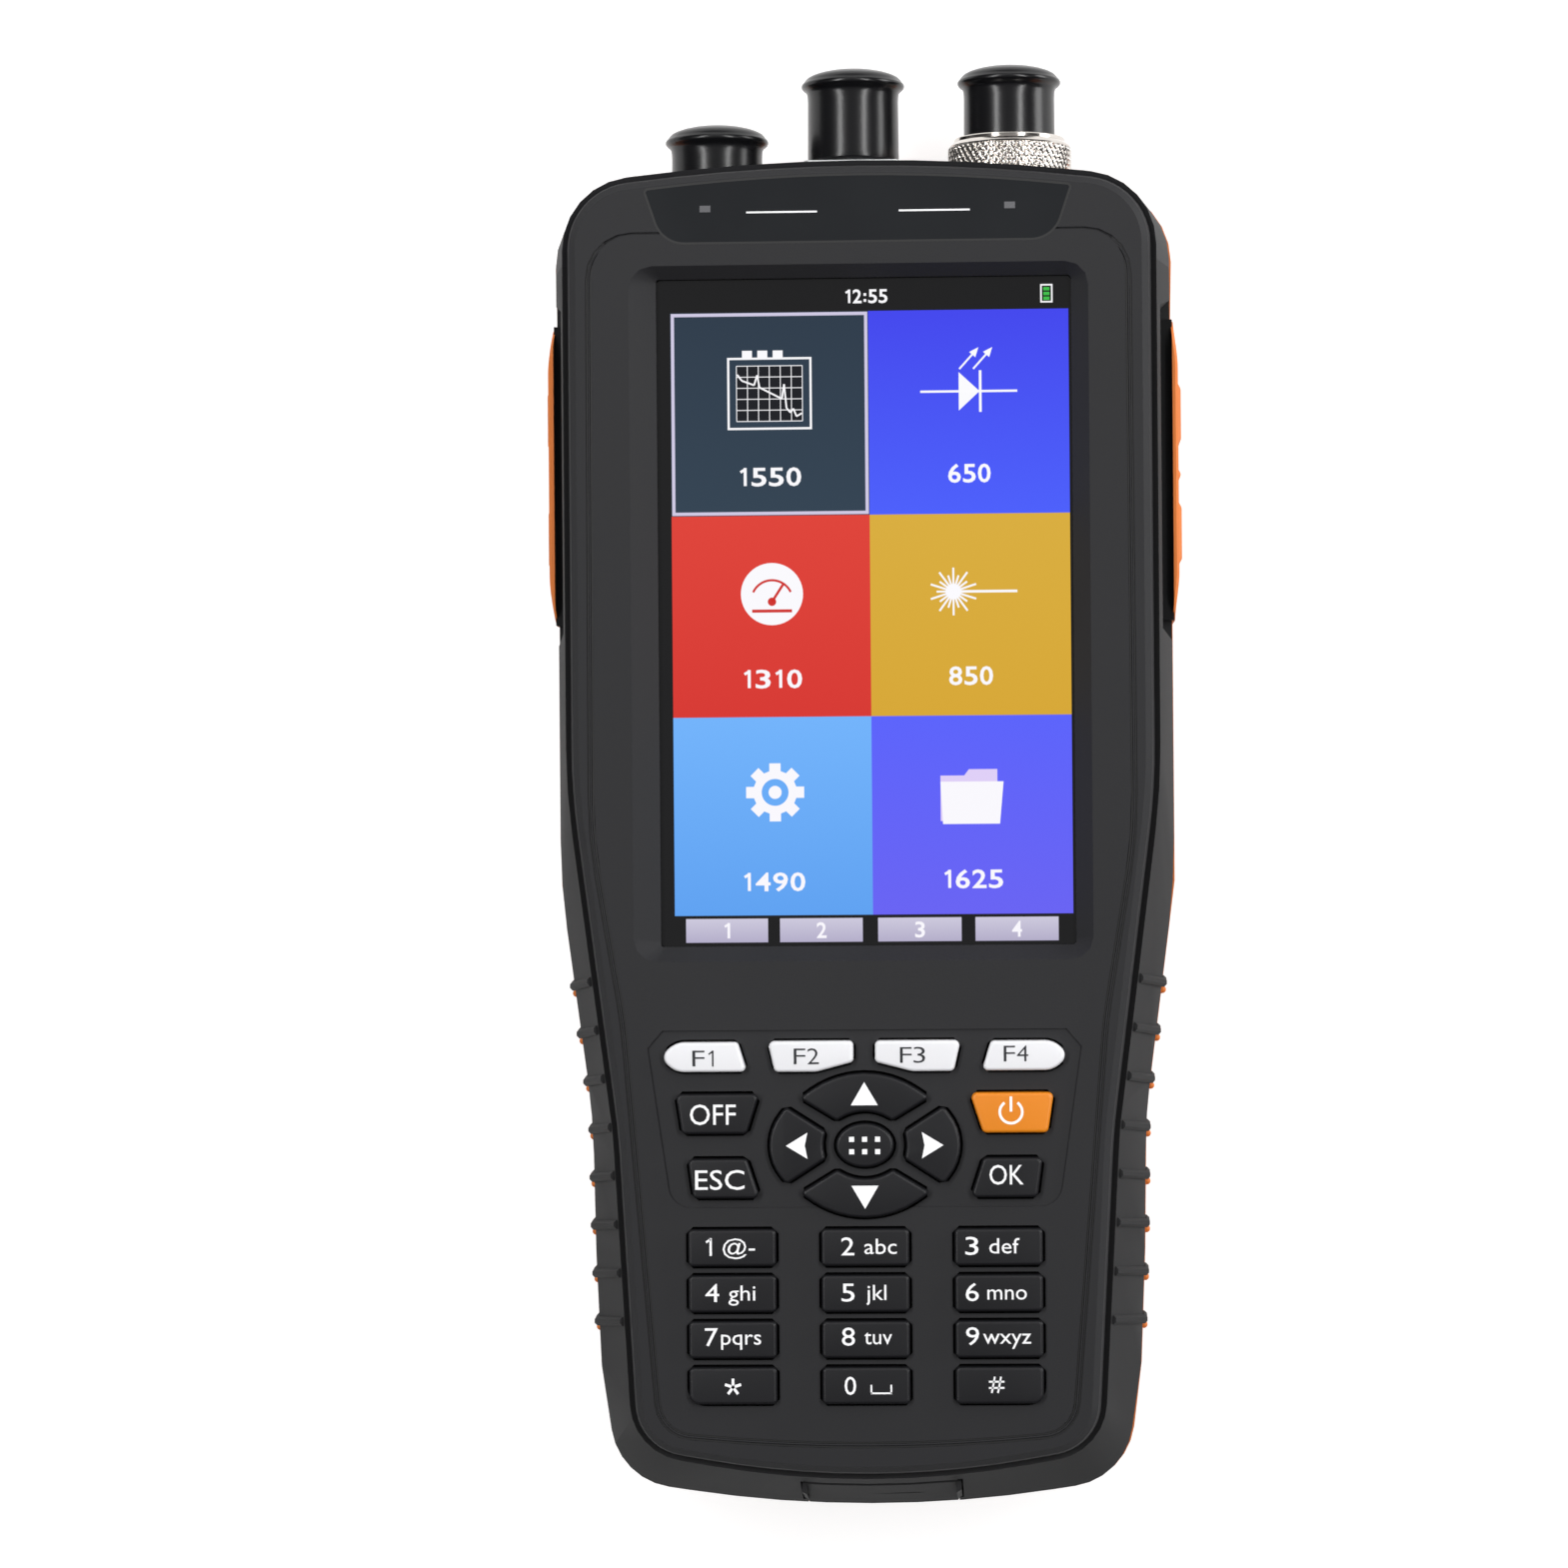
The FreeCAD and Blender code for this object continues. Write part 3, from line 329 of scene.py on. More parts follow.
RIB_LEVELS = 25.1 + 6.34 * np.arange(8)
LINE_Y = np.array([3.85, 19.0, 34.0, 52.0, 82.6])
LINE_X = BODY_HALF - np.array([7.1, 4.9, 4.3, 4.0, 0.0])


def lean_ribs(at):
    """Move in y = 1.05 part - 0.25, part running 0 to 1 up the slope; x follows a little."""
    near = np.abs(at[:, 1:2] - RIB_LEVELS).min(1) < 0.8
    near &= (np.abs(at[:, 0]) > 26) & (at[:, 2] > Z_PART + 0.05)
    part = np.clip((at[:, 2] - Z_WALL) / (Z_CREASE - Z_WALL), 0, 1)
    move = np.where(near, 1.05 * part - 0.25, 0)
    spread = np.where(at[:, 1] > 52, 0.13, 0.02)
    return at + np.stack([np.sign(at[:, 0]) * spread * move, move, 0 * move], 1)


def smooth_band(at):
    """Along the sides, |x| of the band stops 0.12 mm outside the body line."""
    line = np.interp(at[:, 1], LINE_Y, LINE_X) + 0.12
    here = (at[:, 1] > 15) & (at[:, 1] < 158) & (at[:, 2] > 6)
    x = np.where(here & (np.abs(at[:, 0]) > line), np.sign(at[:, 0]) * line, at[:, 0])
    return np.stack([x, at[:, 1], at[:, 2]], 1)


def in_finger_groove(x, y, z):
    """True inside the groove under the lip of the bottom cover."""
    return 33.3 < z < 34.3 and abs(y - 3.1) < 0.05


dress("front_shell", "case", BLACK_CASE, edge=0.10)
dress("front_bumper", "case", BLACK_RUBBER, edge=0.10, reshape=lean_ribs)
dress("rear_bumper", "case", ORANGE_RUBBER, edge=0.15, reshape=smooth_band)
dress("rear_shell", "case", BLACK_CASE, edge=0.15)
dress("battery_door", "case", BLACK_CASE, edge=0.12)
dress("kickstand", "kickstand", BLACK_CASE, edge=0.15)
dress("port_cover", "port_cover", BLACK_RUBBER, edge=0.15,
      plug=in_finger_groove)
dress("port_plate", "case", BLACK_CASE, edge=0.15)
dress("label_strip", "case", STRIP_FILM, edge=0.04)
print("housing dressed")

# %% [markdown]
# ## Side grips
# Each grip is a soft orange pad that thins out at both ends and carries three raised patches
# for the fingers. Its outer face is one function of y and z, so the patches swell out of it
# with no seam. A low black land fills the hollow between the slope and the grip.

# %% Grips, lands and the orange ends of the ribs
GRIP_Y = (low("side_grip_right", 1) - Y_LOW, high("side_grip_right", 1) - Y_LOW)
GRIP_Z = (low("side_grip_right", 2), high("side_grip_right", 2))
PAD_RISE = 0.44
GRIP_FACE = high("side_grip_right", 0) - PAD_RISE - 0.01
LAND_X = BODY_HALF + 0.27
PADS = ((124.6, 132.5, 11.0, 29.0), (135.8, 137.2, 14.0, 26.0), (140.4, 148.2, 11.0, 29.0))


def ease(u):
    """0 below 0, 1 above 1, and 3 u^2 - 2 u^3 between."""
    u = np.clip(u, 0, 1)
    return u * u * (3 - 2 * u)


def grip_rings(side):
    """Rings at 220 levels of y: x = face - thinning(y) - rounding(z) + patches(y, z)."""
    rings = []
    for y in np.linspace(*GRIP_Y, 220):
        end = min(y - GRIP_Y[0], GRIP_Y[1] - y)
        cut = 4.0 - math.sqrt(16.0 - max(0.0, 4.0 - end) ** 2) if end < 4.0 else 0.0
        z = np.linspace(GRIP_Z[0] + cut, GRIP_Z[1] - cut, 60)
        edge = np.clip(np.minimum(z - z[0], z[-1] - z) / 0.5, 0, 1)
        x = GRIP_FACE - 0.55 * (1 - ease(end / 6.5)) - 0.35 * (1 - np.sqrt(1 - (1 - edge) ** 2))
        for a, b, c, d in PADS:
            swell = ease((y - a + 0.4) / 1.1) * ease((b + 0.4 - y) / 1.1)
            x = x + PAD_RISE * swell * ease((z - c) / 1.1) * ease((d - z) / 1.1)
        notch = min(28.45, z[-1] - 0.02)
        x = np.concatenate([x, [LAND_X - 0.02, LAND_X - 0.02, BODY_HALF - 0.7, BODY_HALF - 0.7]])
        z = np.concatenate([z, [z[-1], notch, notch, z[0]]])
        rings.append(np.column_stack([side * x, np.full(len(x), y + Y_LOW), z]))
    return rings


land = [(BODY_HALF - 2.0, 28.3), (LAND_X, 28.3), (LAND_X, 30.2), (BODY_HALF - 0.3, 29.9),
        (BODY_HALF - 2.0, 29.3)]
for side, sign in (("left", -1), ("right", 1)):
    add_piece("grip_over_" + side, skin(grip_rings(sign)), "case",
              ORANGE_RUBBER, ("side_grip_" + side,), sharp=40)
    rows = [np.array([[sign * x, y + Y_LOW, z] for x, z in land]) for y in GRIP_Y]
    add_piece("grip_land_" + side, skin(rows), "case", BLACK_RUBBER)


def rib_end(sign, y):
    """An upright round bar with domed ends, on the body line below a rib: rings of (z, r)."""
    x = np.interp(y, LINE_Y, LINE_X) + 0.25
    t = np.linspace(0, 2 * math.pi, 16, endpoint=False)
    rows = [(9.9, 0.06), (10.0, 0.3), (10.3, 0.5), (26.5, 0.5), (26.8, 0.42), (26.93, 0.26),
            (26.97, 0.06)]
    return skin([np.column_stack([sign * (x + r * np.cos(t)), Y_LOW + y + r * np.sin(t)
                                  - 0.05 * (Z_PART - z), np.full(16, z)]) for z, r in rows])


add_piece("rib_ends", join(*[rib_end(sign, y - 1.3) for sign in (-1, 1) for y in RIB_LEVELS]),
          "case", ORANGE_RUBBER)

# the two ends of the bottom cover slope down to the bumper
COVER_X, COVER_HALF, CHEEK_Z = 1.6, 9.9, (30.7, 36.6)
cheeks = []
for end, sag in ((-1, 0.22), (1, 0.41)):
    x_end = COVER_X + end * COVER_HALF
    rows = []
    for z in CHEEK_Z:
        y = Y_LOW + 0.62 + sag + (z - Z_WALL) * 0.29
        rows.append(np.array([(x_end - end * 0.1, y, z), (x_end + end * 0.5, y + 0.4, z),
                              (x_end + end * 0.5, y + 1.6, z), (x_end - end * 0.1, y + 1.6, z)]))
    cheeks.append(skin(rows))
add_piece("cover_cheeks", join(*cheeks), "port_cover", BLACK_RUBBER)
print("grips and rib ends made")

# %% Plain finishes for what stays as the frame has it
for node, material in {"light_pipes": LIGHT_PIPE, "keypad_mat": DARK_PLASTIC_AND_SHADE,
                       "keypad_board": GREEN_BOARD, "main_board": GREEN_BOARD,
                       "socket_board": GREEN_BOARD, "battery_pack": SLEEVE,
                       "case_screws": STEEL, "door_screws": STEEL, "otdr_adapter": PLATED,
                       "otdr_sleeve": CERAMIC, "opm_socket": NICKEL, "vfl_port": NICKEL,
                       "vfl_laser": GREY_METAL, "optical_module": GREY_METAL,
                       "dc_socket": DARK_PLASTIC_AND_SHADE, "usb_socket": NICKEL}.items():
    nodes[node].data.materials.clear()
    nodes[node].data.materials.append(material)

# %% [markdown]
# ## Keys
# A key is an outline carried up a short profile: straight sides, a small quarter-round edge
# and a flat top.

# %% Key outlines, in millimetres
F1 = [(-15.2, 58.55, 0.6), (-16.4, 62.4, 0.6), (-24.5, 62.4, 3.0), (-26.5, 60.5, 1.3),
      (-24.5, 58.55, 3.0)]
F2 = [(-6.2, 58.5, 2.0), (-1.4, 59.75, 0.6), (-1.4, 62.5, 0.6), (-12.5, 62.5, 0.7),
      (-11.6, 58.5, 0.7)]
OFF = [(-15.3, 50.5, 0.7), (-13.6, 55.7, 0.7), (-24.5, 55.7, 0.7), (-23.7, 50.5, 0.7)]
ESC = [(-13.6, 42.15, 0.7), (-15.3, 47.3, 0.7), (-23.0, 47.3, 0.7), (-22.3, 42.15, 0.7)]
PAD_Y = 48.97
UP = [(3.6, 52.15, 0.5), (8.5, 55.1, 0.5), (0, 61.0, 12.2), (-8.5, 55.1, 0.5),
      (-3.6, 52.15, 0.5), (0, 54.25, 6.0)]
LEFT = [(-5.1, 47.2, 0.6), (-5.45, PAD_Y, 5.0), (-5.1, 50.75, 0.6), (-10.2, 54.0, 0.6),
        (-14.2, PAD_Y, 6.5), (-10.2, 2 * PAD_Y - 54.0, 0.6)]
KEY_X = (-17.3, -0.05, 17.2)
KEY_Y = (35.76, 29.8, 23.85, 17.9)
KEY_SIZE = (11.4, 4.8)
EDGE = 0.42
MENU_HALF = (3.75, 2.85)
WHITE_KEYS = ("f1", "f2", "f3", "f4")


def number_key(x, y, corner=None):
    """A key about (x, y); the corner named has the larger radius."""
    w, h = KEY_SIZE[0] / 2, KEY_SIZE[1] / 2
    radii = [0.6, 0.6, 0.6, 0.6]
    if corner is not None:
        radii[corner] = 1.3
    plain = rectangle(x - w, x + w, y - h, y + h, 0.6)
    return [(px, py, r) for (px, py, _), r in zip(plain, radii)]


def key_shape(outline):
    """Sides up to the edge, then inset = EDGE (1 - cos t) and height = EDGE sin t."""
    t = np.linspace(0, math.pi / 2, 6)
    rings = [ring(outline(0.0), Z_KEY_FOOT)]
    rings += [ring(outline(EDGE * (1 - math.cos(a))), Z_KEY - EDGE + EDGE * math.sin(a))
              for a in t]
    return skin(rings)


def oval(a, b, inset, n=72):
    """An ellipse of half axes a and b less the inset, about the middle of the pad."""
    t = np.linspace(0, 2 * math.pi, n, endpoint=False)
    return np.column_stack([(a - inset) * np.cos(t), PAD_Y + (b - inset) * np.sin(t)])


keys = {"f1": F1, "f2": F2, "f3": flip_x(F2), "f4": flip_x(F1), "off": OFF, "esc": ESC,
        "power": flip_x(OFF), "ok": flip_x(ESC), "up": UP, "down": flip_y(UP, PAD_Y),
        "left": LEFT, "right": flip_x(LEFT)}
for i, name in enumerate(["1", "2", "3", "4", "5", "6", "7", "8", "9", "star", "0", "hash"]):
    keys[name] = number_key(KEY_X[i % 3], KEY_Y[i // 3], {"star": 3, "hash": 0}.get(name))
for name, corners in keys.items():
    white = name in WHITE_KEYS
    tone = WHITE_KEY if white else ORANGE_KEY if name == "power" else BLACK_KEY
    add_piece("cap_of_" + name, key_shape(lambda inset: rounded(corners, inset)),
              "key_" + name, tone, ("key_" + name,))
add_piece("cap_of_menu", key_shape(lambda inset: oval(*MENU_HALF, inset)),
          "key_menu", BLACK_KEY, ("key_menu",))
print("keys:", len(keys) + 1)

# %% [markdown]
# ## Printed marks
# Lettering is a font curve turned into a mesh. It is stretched to a width and a capital
# height in millimetres, so its size comes from the key and not from the font, and it stands
# a few hundredths of a millimetre proud, as printing does.

# %% Letters as thin solid marks
def one(x, base, height, stroke, z0, z1):
    """The figure 1 without a foot: an upright, and a flag that falls to the left."""
    top = base + height
    return join(bar(x, base, x, top, stroke, z0, z1),
                bar(x, top - stroke / 2, x - 0.26 * height, top - 0.24 * height, stroke * 0.9,
                    z0, z1))


def letters(text, x0, x1, base, height, z0, z1, weight=0.0):
    """Vertices and faces of a word: x from x0 to x1, the base line at base, z0 to z1.

    The capital height of the font is read from an H, and every y is scaled by
    height / that, so that letters with tails keep their tails.
    """
    def outline(words):
        curve = bpy.data.curves.new("word", "FONT")
        curve.offset = weight
        curve.body = words
        curve.resolution_u = 3
        curve.extrude = 0.5
        holder = bpy.data.objects.new("word", curve)
        mesh = holder.to_mesh()
        points = np.empty(len(mesh.vertices) * 3)
        mesh.vertices.foreach_get("co", points)
        faces = [list(face.vertices) for face in mesh.polygons]
        holder.to_mesh_clear()
        bpy.data.objects.remove(holder)
        bpy.data.curves.remove(curve)
        return points.reshape(-1, 3), faces

    capital = outline("H")[0][:, 1].max()
    points, faces = outline(text)
    wide = points[:, 0].max() - points[:, 0].min()
    x = x0 + (points[:, 0] - points[:, 0].min()) * (x1 - x0) / wide
    y = Y_LOW + base + points[:, 1] * height / capital
    z = np.where(points[:, 2] > 0, z1, z0)
    return np.column_stack([x, y, z]), faces


def figures(text, x0, x1, base, height, z0, z1, weight=0.0):
    """Signs in even cells from x0 to x1, with the figure 1 drawn by its own strokes."""
    share = [{":": 0.5, "1": 0.8}.get(sign, 1.0) for sign in text]
    edges = x0 + (x1 - x0) * np.concatenate([[0], np.cumsum(share)]) / sum(share)
    gap = 0.07 * (x1 - x0) / sum(share)
    parts = []
    for sign, a, b in zip(text, edges, edges[1:]):
        if sign == "1":
            parts.append(one((a + b) / 2 + 0.1 * height, base, height,
                             (0.125 + 2.6 * weight) * height, z0, z1))
        elif sign == ":":
            w = 0.2 * height
            parts += [bar((a + b) / 2, base + c * height, (a + b) / 2, base + c * height + w, w,
                          z0, z1) for c in (0.08, 0.52)]
        else:
            parts.append(letters(sign, a + gap, b - gap, base, height, z0, z1, weight))
    return join(*parts)


def slab(points, z0, z1):
    """A flat mark from a closed row of (x, y) points."""
    return skin([ring(np.asarray(points, float), z0), ring(np.asarray(points, float), z1)])


def bar(ax, ay, bx, by, w, z0, z1):
    """A straight stroke from a to b, w wide."""
    d = np.array([bx - ax, by - ay])
    side = np.array([-d[1], d[0]]) / np.linalg.norm(d) * w / 2
    a, b = np.array([ax, ay]), np.array([bx, by])
    return slab([a - side, b - side, b + side, a + side], z0, z1)


def bent(cx, cy, r, w, a0, a1, z0, z1, n=40):
    """A curved stroke of radius r round a centre, from angle a0 to a1 in degrees."""
    t = np.radians(np.linspace(a0, a1, n))
    outer = np.column_stack([cx + (r + w / 2) * np.cos(t), cy + (r + w / 2) * np.sin(t)])
    inner = np.column_stack([cx + (r - w / 2) * np.cos(t), cy + (r - w / 2) * np.sin(t)])
    rows = [np.column_stack([p, np.full(n, z)]) for p, z in
            ((outer, z0), (outer, z1), (inner, z1), (inner, z0))]
    grid = np.stack(rows, 1)
    grid[..., 1] += Y_LOW
    if abs(a1 - a0) >= 360:
        return skin(list(grid[:-1]), loop=True)
    return skin(list(grid))


def disc(cx, cy, r, z0, z1, n=48):
    """A round flat mark."""
    t = np.linspace(0, 2 * math.pi, n, endpoint=False)
    return slab(np.column_stack([cx + r * np.cos(t), cy + r * np.sin(t)]), z0, z1)


# %% Key legends
INK_LOW = Z_KEY - 0.04
INK_TOP = Z_KEY + INK
DIGIT_HIGH, DIGIT_DROP = 2.3, 1.12
WORD_HIGH, WORD_DROP = 1.95, 0.95
ROW_LIFT = (0.15, 0.15, 0.4)
ARROW_HALF, ARROW_FOOT, ARROW_TIP = 1.75, 5.2, 8.2
number_marks = {"1": ("1", -3.6, -2.5, "@-", -1.2, 3.0), "2": ("2", -3.1, -1.4, "abc", -0.1, 4.1),
                "3": ("3", -4.3, -2.6, "def", -1.2, 2.7), "4": ("4", -3.5, -1.7, "ghi", -0.5, 3.0),
                "5": ("5", -3.1, -1.4, "jkl", 0.1, 2.7), "6": ("6", -4.3, -2.6, "mno", -1.5, 3.6),
                "7": ("7", -3.6, -1.9, "pqrs", -1.5, 3.7), "8": ("8", -3.1, -1.4, "tuv", -0.2, 3.4),
                "9": ("9", -4.3, -2.6, "wxyz", -2.1, 4.1)}
marks = {}
for i, (name, (digit, d0, d1, word, w0, w1)) in enumerate(number_marks.items()):
    x, y = KEY_X[i % 3], KEY_Y[i // 3]
    lift = ROW_LIFT[i // 3]
    base = y - DIGIT_DROP + lift
    figure = (one(x + d1 - 0.25, base, DIGIT_HIGH, 0.3, INK_LOW, INK_TOP) if digit == "1" else
              letters(digit, x + d0, x + d1, base, DIGIT_HIGH, INK_LOW, INK_TOP))
    marks[name] = [figure, letters(word, x + w0, x + w1, y - WORD_DROP + lift, WORD_HIGH,
                                   INK_LOW, INK_TOP)]
x, y = KEY_X[1], KEY_Y[3]
marks["0"] = [letters("0", x - 2.8, x - 1.3, y - DIGIT_DROP, DIGIT_HIGH, INK_LOW, INK_TOP),
              bar(x + 0.55, y - 0.95, x + 3.35, y - 0.95, 0.22, INK_LOW, INK_TOP),
              bar(x + 0.66, y - 1.0, x + 0.66, y + 0.15, 0.22, INK_LOW, INK_TOP),
              bar(x + 3.24, y - 1.0, x + 3.24, y + 0.15, 0.22, INK_LOW, INK_TOP)]
x = KEY_X[0]
marks["star"] = [bar(x, y - 0.1, x + 1.1 * math.cos(a), y - 0.1 + 1.1 * math.sin(a), 0.36,
                     INK_LOW, INK_TOP) for a in np.radians([90, 162, 234, 306, 18])]
x = KEY_X[2] - 0.4
marks["hash"] = [bar(x + a - 0.25, y - 0.95, x + a + 0.15, y + 1.15, 0.24, INK_LOW, INK_TOP)
                 for a in (-0.38, 0.42)]
marks["hash"] += [bar(x - 1.0, y + b, x + 1.0, y + b, 0.24, INK_LOW, INK_TOP) for b in (-0.3, 0.5)]
for name, x0, x1, y in (("f1", -22.35, -19.05, 59.3), ("f2", -9.2, -5.7, 59.5),
                        ("f3", 4.55, 8.05, 59.6), ("f4", 17.95, 21.35, 59.7)):
    marks[name] = [figures(name.upper(), x0, x1, y, 2.05, INK_LOW, INK_TOP, -0.008)]
marks["off"] = [letters("OFF", -22.6, -16.65, 51.75, 2.6, INK_LOW, INK_TOP)]
marks["esc"] = [letters("ESC", -22.0, -15.6, 43.35, 2.5, INK_LOW, INK_TOP)]
marks["ok"] = [letters("OK", 16.1, 20.5, 43.85, 2.5, INK_LOW, INK_TOP)]
marks["power"] = [bent(18.95, 53.2, 1.45, 0.34, 125, 415, INK_LOW, INK_TOP),
                  bar(18.95, 53.25, 18.95, 55.2, 0.34, INK_LOW, INK_TOP)]
marks["up"] = [slab([(-ARROW_HALF, PAD_Y + ARROW_FOOT), (ARROW_HALF, PAD_Y + ARROW_FOOT),
                     (0, PAD_Y + ARROW_TIP)], INK_LOW, INK_TOP)]
marks["down"] = [slab([(-ARROW_HALF, PAD_Y - ARROW_FOOT), (0, PAD_Y - ARROW_TIP),
                       (ARROW_HALF, PAD_Y - ARROW_FOOT)], INK_LOW, INK_TOP)]
marks["left"] = [slab([(-7.4, PAD_Y - 1.7), (-7.75, PAD_Y), (-7.4, PAD_Y + 1.7),
                       (-10.2, PAD_Y)], INK_LOW, INK_TOP)]
marks["right"] = [slab([(7.4, PAD_Y - 1.7), (10.2, PAD_Y), (7.4, PAD_Y + 1.7),
                        (7.75, PAD_Y)], INK_LOW, INK_TOP)]
marks["menu"] = [slab([(a - 0.33, b - 0.33), (a + 0.33, b - 0.33), (a + 0.33, b + 0.33),
                       (a - 0.33, b + 0.33)], INK_LOW, INK_TOP)
                 for a in (-1.68, 0, 1.68) for b in (PAD_Y - 0.8, PAD_Y + 0.8)]
for name, parts in marks.items():
    ink = DARK_INK if name in WHITE_KEYS else WHITE_INK
    add_piece("mark_on_" + name, join(*parts), "key_" + name, ink, sharp=60)
print("legends:", len(marks))

# %% [markdown]
# ## The lit display
# The picture is a set of thin glowing tiles on black glass. Each tile is one Principled
# surface that gives off its own colour and still reflects a little of the room.

# %% A glowing tone that changes a little from bottom to top
def lit(name, low_tone, high_tone, y0, y1, strength=1.0):
    """Emission colour runs linearly in y between two tones over the height of the tile."""
    mat = bpy.data.materials.new(name)
    mat.use_nodes = True
    tree = mat.node_tree
    shader = tree.nodes["Principled BSDF"]
    shader.inputs["Base Color"].default_value = (0.004, 0.004, 0.005, 1)
    shader.inputs["Roughness"].default_value = 0.22
    shader.inputs["Specular IOR Level"].default_value = 0.25
    place = tree.nodes.new("ShaderNodeTexCoord")
    split = tree.nodes.new("ShaderNodeSeparateXYZ")
    tree.links.new(place.outputs["Object"], split.inputs["Vector"])
    along = tree.nodes.new("ShaderNodeMapRange")
    along.inputs["From Min"].default_value = (Y_LOW + y0) * MM
    along.inputs["From Max"].default_value = (Y_LOW + y1) * MM
    tree.links.new(split.outputs["Y"], along.inputs["Value"])
    shade = tree.nodes.new("ShaderNodeMix")
    shade.data_type = "RGBA"
    shade.inputs[6].default_value = low_tone
    shade.inputs[7].default_value = high_tone
    tree.links.new(along.outputs["Result"], shade.inputs[0])
    tree.links.new(shade.outputs[2], shader.inputs["Emission Color"])
    shader.inputs["Emission Strength"].default_value = strength
    return mat


ACTIVE = (-24.62, 27.22, 74.8, 161.2)
SPLIT = 1.2
ROWS = (78.7, 104.5, 130.7, 157.2)
X0, X1 = ACTIVE[0], ACTIVE[1]
module = rectangle(-26.2, 28.8, low("lcd_panel", 1) - Y_LOW, high("lcd_panel", 1) - Y_LOW, 0.6)
lens = rectangle(low("screen_lens", 0), high("screen_lens", 0), low("screen_lens", 1) - Y_LOW,
                 high("screen_lens", 1) - Y_LOW, 1.0)
Z_LCD = low("screen_lens", 2)
MODULE_DEEP = 3.2
add_piece("display_glass", skin([ring(rounded(lens), Z_LCD), ring(rounded(lens), Z_GLASS)]),
          "case", SCREEN_BLACK, ("screen_lens",))
add_piece("display_module",
          skin([ring(rounded(module), Z_LCD - MODULE_DEEP), ring(rounded(module), Z_LCD)]),
          "case", GREY_METAL, ("lcd_panel",))
Z_PIC = (Z_GLASS - 0.05, Z_GLASS + 0.02)
Z_MARK = (Z_GLASS - 0.04, Z_GLASS + 0.05)
Z_FINE = (Z_GLASS - 0.03, Z_GLASS + 0.08)


def tile(x0, x1, y0, y1, z=Z_PIC):
    """A rectangular flat mark."""
    return slab([(x0, y0), (x1, y0), (x1, y1), (x0, y1)], *z)


tones = {"tile_slate": (X0, SPLIT, 2, (44, 62, 78), (38, 54, 70)),
         "tile_blue": (SPLIT, X1, 2, (72, 92, 250), (62, 66, 236)),
         "tile_red": (X0, SPLIT, 1, (214, 50, 42), (222, 62, 50)),
         "tile_amber": (SPLIT, X1, 1, (214, 166, 46), (216, 172, 56)),
         "tile_sky": (X0, SPLIT, 0, (92, 160, 240), (112, 178, 250)),
         "tile_violet": (SPLIT, X1, 0, (102, 96, 242), (88, 96, 250))}
for name, (x0, x1, row, below, above) in tones.items():
    y0, y1 = ROWS[row], ROWS[row + 1]
    add_piece(name, tile(x0, x1, y0, y1), "case",
              lit(name + "_light", linear(*below), linear(*above), y0, y1))
WHITE_LIGHT = lit("white_light", linear(248, 246, 252), linear(250, 250, 252), 74, 162)
LILAC_LIGHT = lit("lilac_light", linear(178, 172, 200), linear(204, 200, 220), 75.2, 78.3)
FRAME_LIGHT = lit("frame_light", linear(206, 200, 226), linear(206, 200, 226), 130, 158)
GREEN_LIGHT = lit("green_light", linear(60, 190, 70), linear(60, 190, 70), 130, 162)
DARK_LIGHT = lit("dark_light", linear(16, 18, 24), linear(16, 18, 24), 70, 162)
RED_LIGHT = lit("red_light", linear(206, 46, 40), linear(206, 46, 40), 100, 132)
SKY_LIGHT = lit("sky_light", linear(102, 170, 246), linear(102, 170, 246), 78, 105)
PALE_LIGHT = lit("pale_light", linear(222, 206, 246), linear(222, 206, 246), 78, 105)


def frame_lines(x0, x1, y0, y1, w, z):
    """Four strokes, w wide, just inside a rectangle."""
    return [bar(x0, y0 + w / 2, x1, y0 + w / 2, w, *z), bar(x0, y1 - w / 2, x1, y1 - w / 2, w, *z),
            bar(x0 + w / 2, y0 + w, x0 + w / 2, y1 - w, w, *z),
            bar(x1 - w / 2, y0 + w, x1 - w / 2, y1 - w, w, *z)]


def middle(text, x, wide, base, height, z=Z_MARK):
    """Figures centred on x."""
    return figures(text, x - wide / 2, x + wide / 2, base, height, *z, weight=0.016)


LEFT_X, RIGHT_X = (X0 + SPLIT) / 2, (SPLIT + X1) / 2
white = [middle("12:55", 0.95, 5.8, 158.25, 1.75), middle("1550", LEFT_X - 0.1, 8.6, 134.6, 2.35),
         middle("650", RIGHT_X, 5.8, 134.8, 2.35), middle("1310", LEFT_X, 8.2, 108.3, 2.35),
         middle("850", RIGHT_X, 6.0, 108.5, 2.35), middle("1490", LEFT_X, 8.6, 81.9, 2.35),
         middle("1625", RIGHT_X, 8.2, 82.1, 2.35)]
# the selected tile's picture: a tester outline with a falling trace on a grid
cx, cy = LEFT_X, 146.6
white += frame_lines(cx - 5.5, cx + 5.5, cy - 4.7, cy + 4.7, 0.28, Z_MARK)
white += [bar(cx + a, cy + 4.6, cx + a, cy + 5.6, 1.3, *Z_MARK) for a in (-2.9, -0.9, 1.1)]
dark = [tile(cx - 4.3, cx + 4.3, cy - 3.6, cy + 3.6, Z_MARK)]
fine = [bar(cx - 4.3 + i * 1.43, cy - 3.6, cx - 4.3 + i * 1.43, cy + 3.6, 0.10, *Z_FINE)
        for i in range(7)]
fine += [bar(cx - 4.3, cy - 3.6 + i * 1.44, cx + 4.3, cy - 3.6 + i * 1.44, 0.10, *Z_FINE)
         for i in range(6)]
trace = [(-4.2, 2.5), (-3.6, 1.7), (-2.0, 1.1), (-1.6, 2.4), (-1.3, 0.8), (1.6, -0.7), (1.9, 1.2),
         (2.2, -1.9), (2.7, -2.5), (3.1, -2.0), (3.5, -3.0), (4.2, -2.6)]
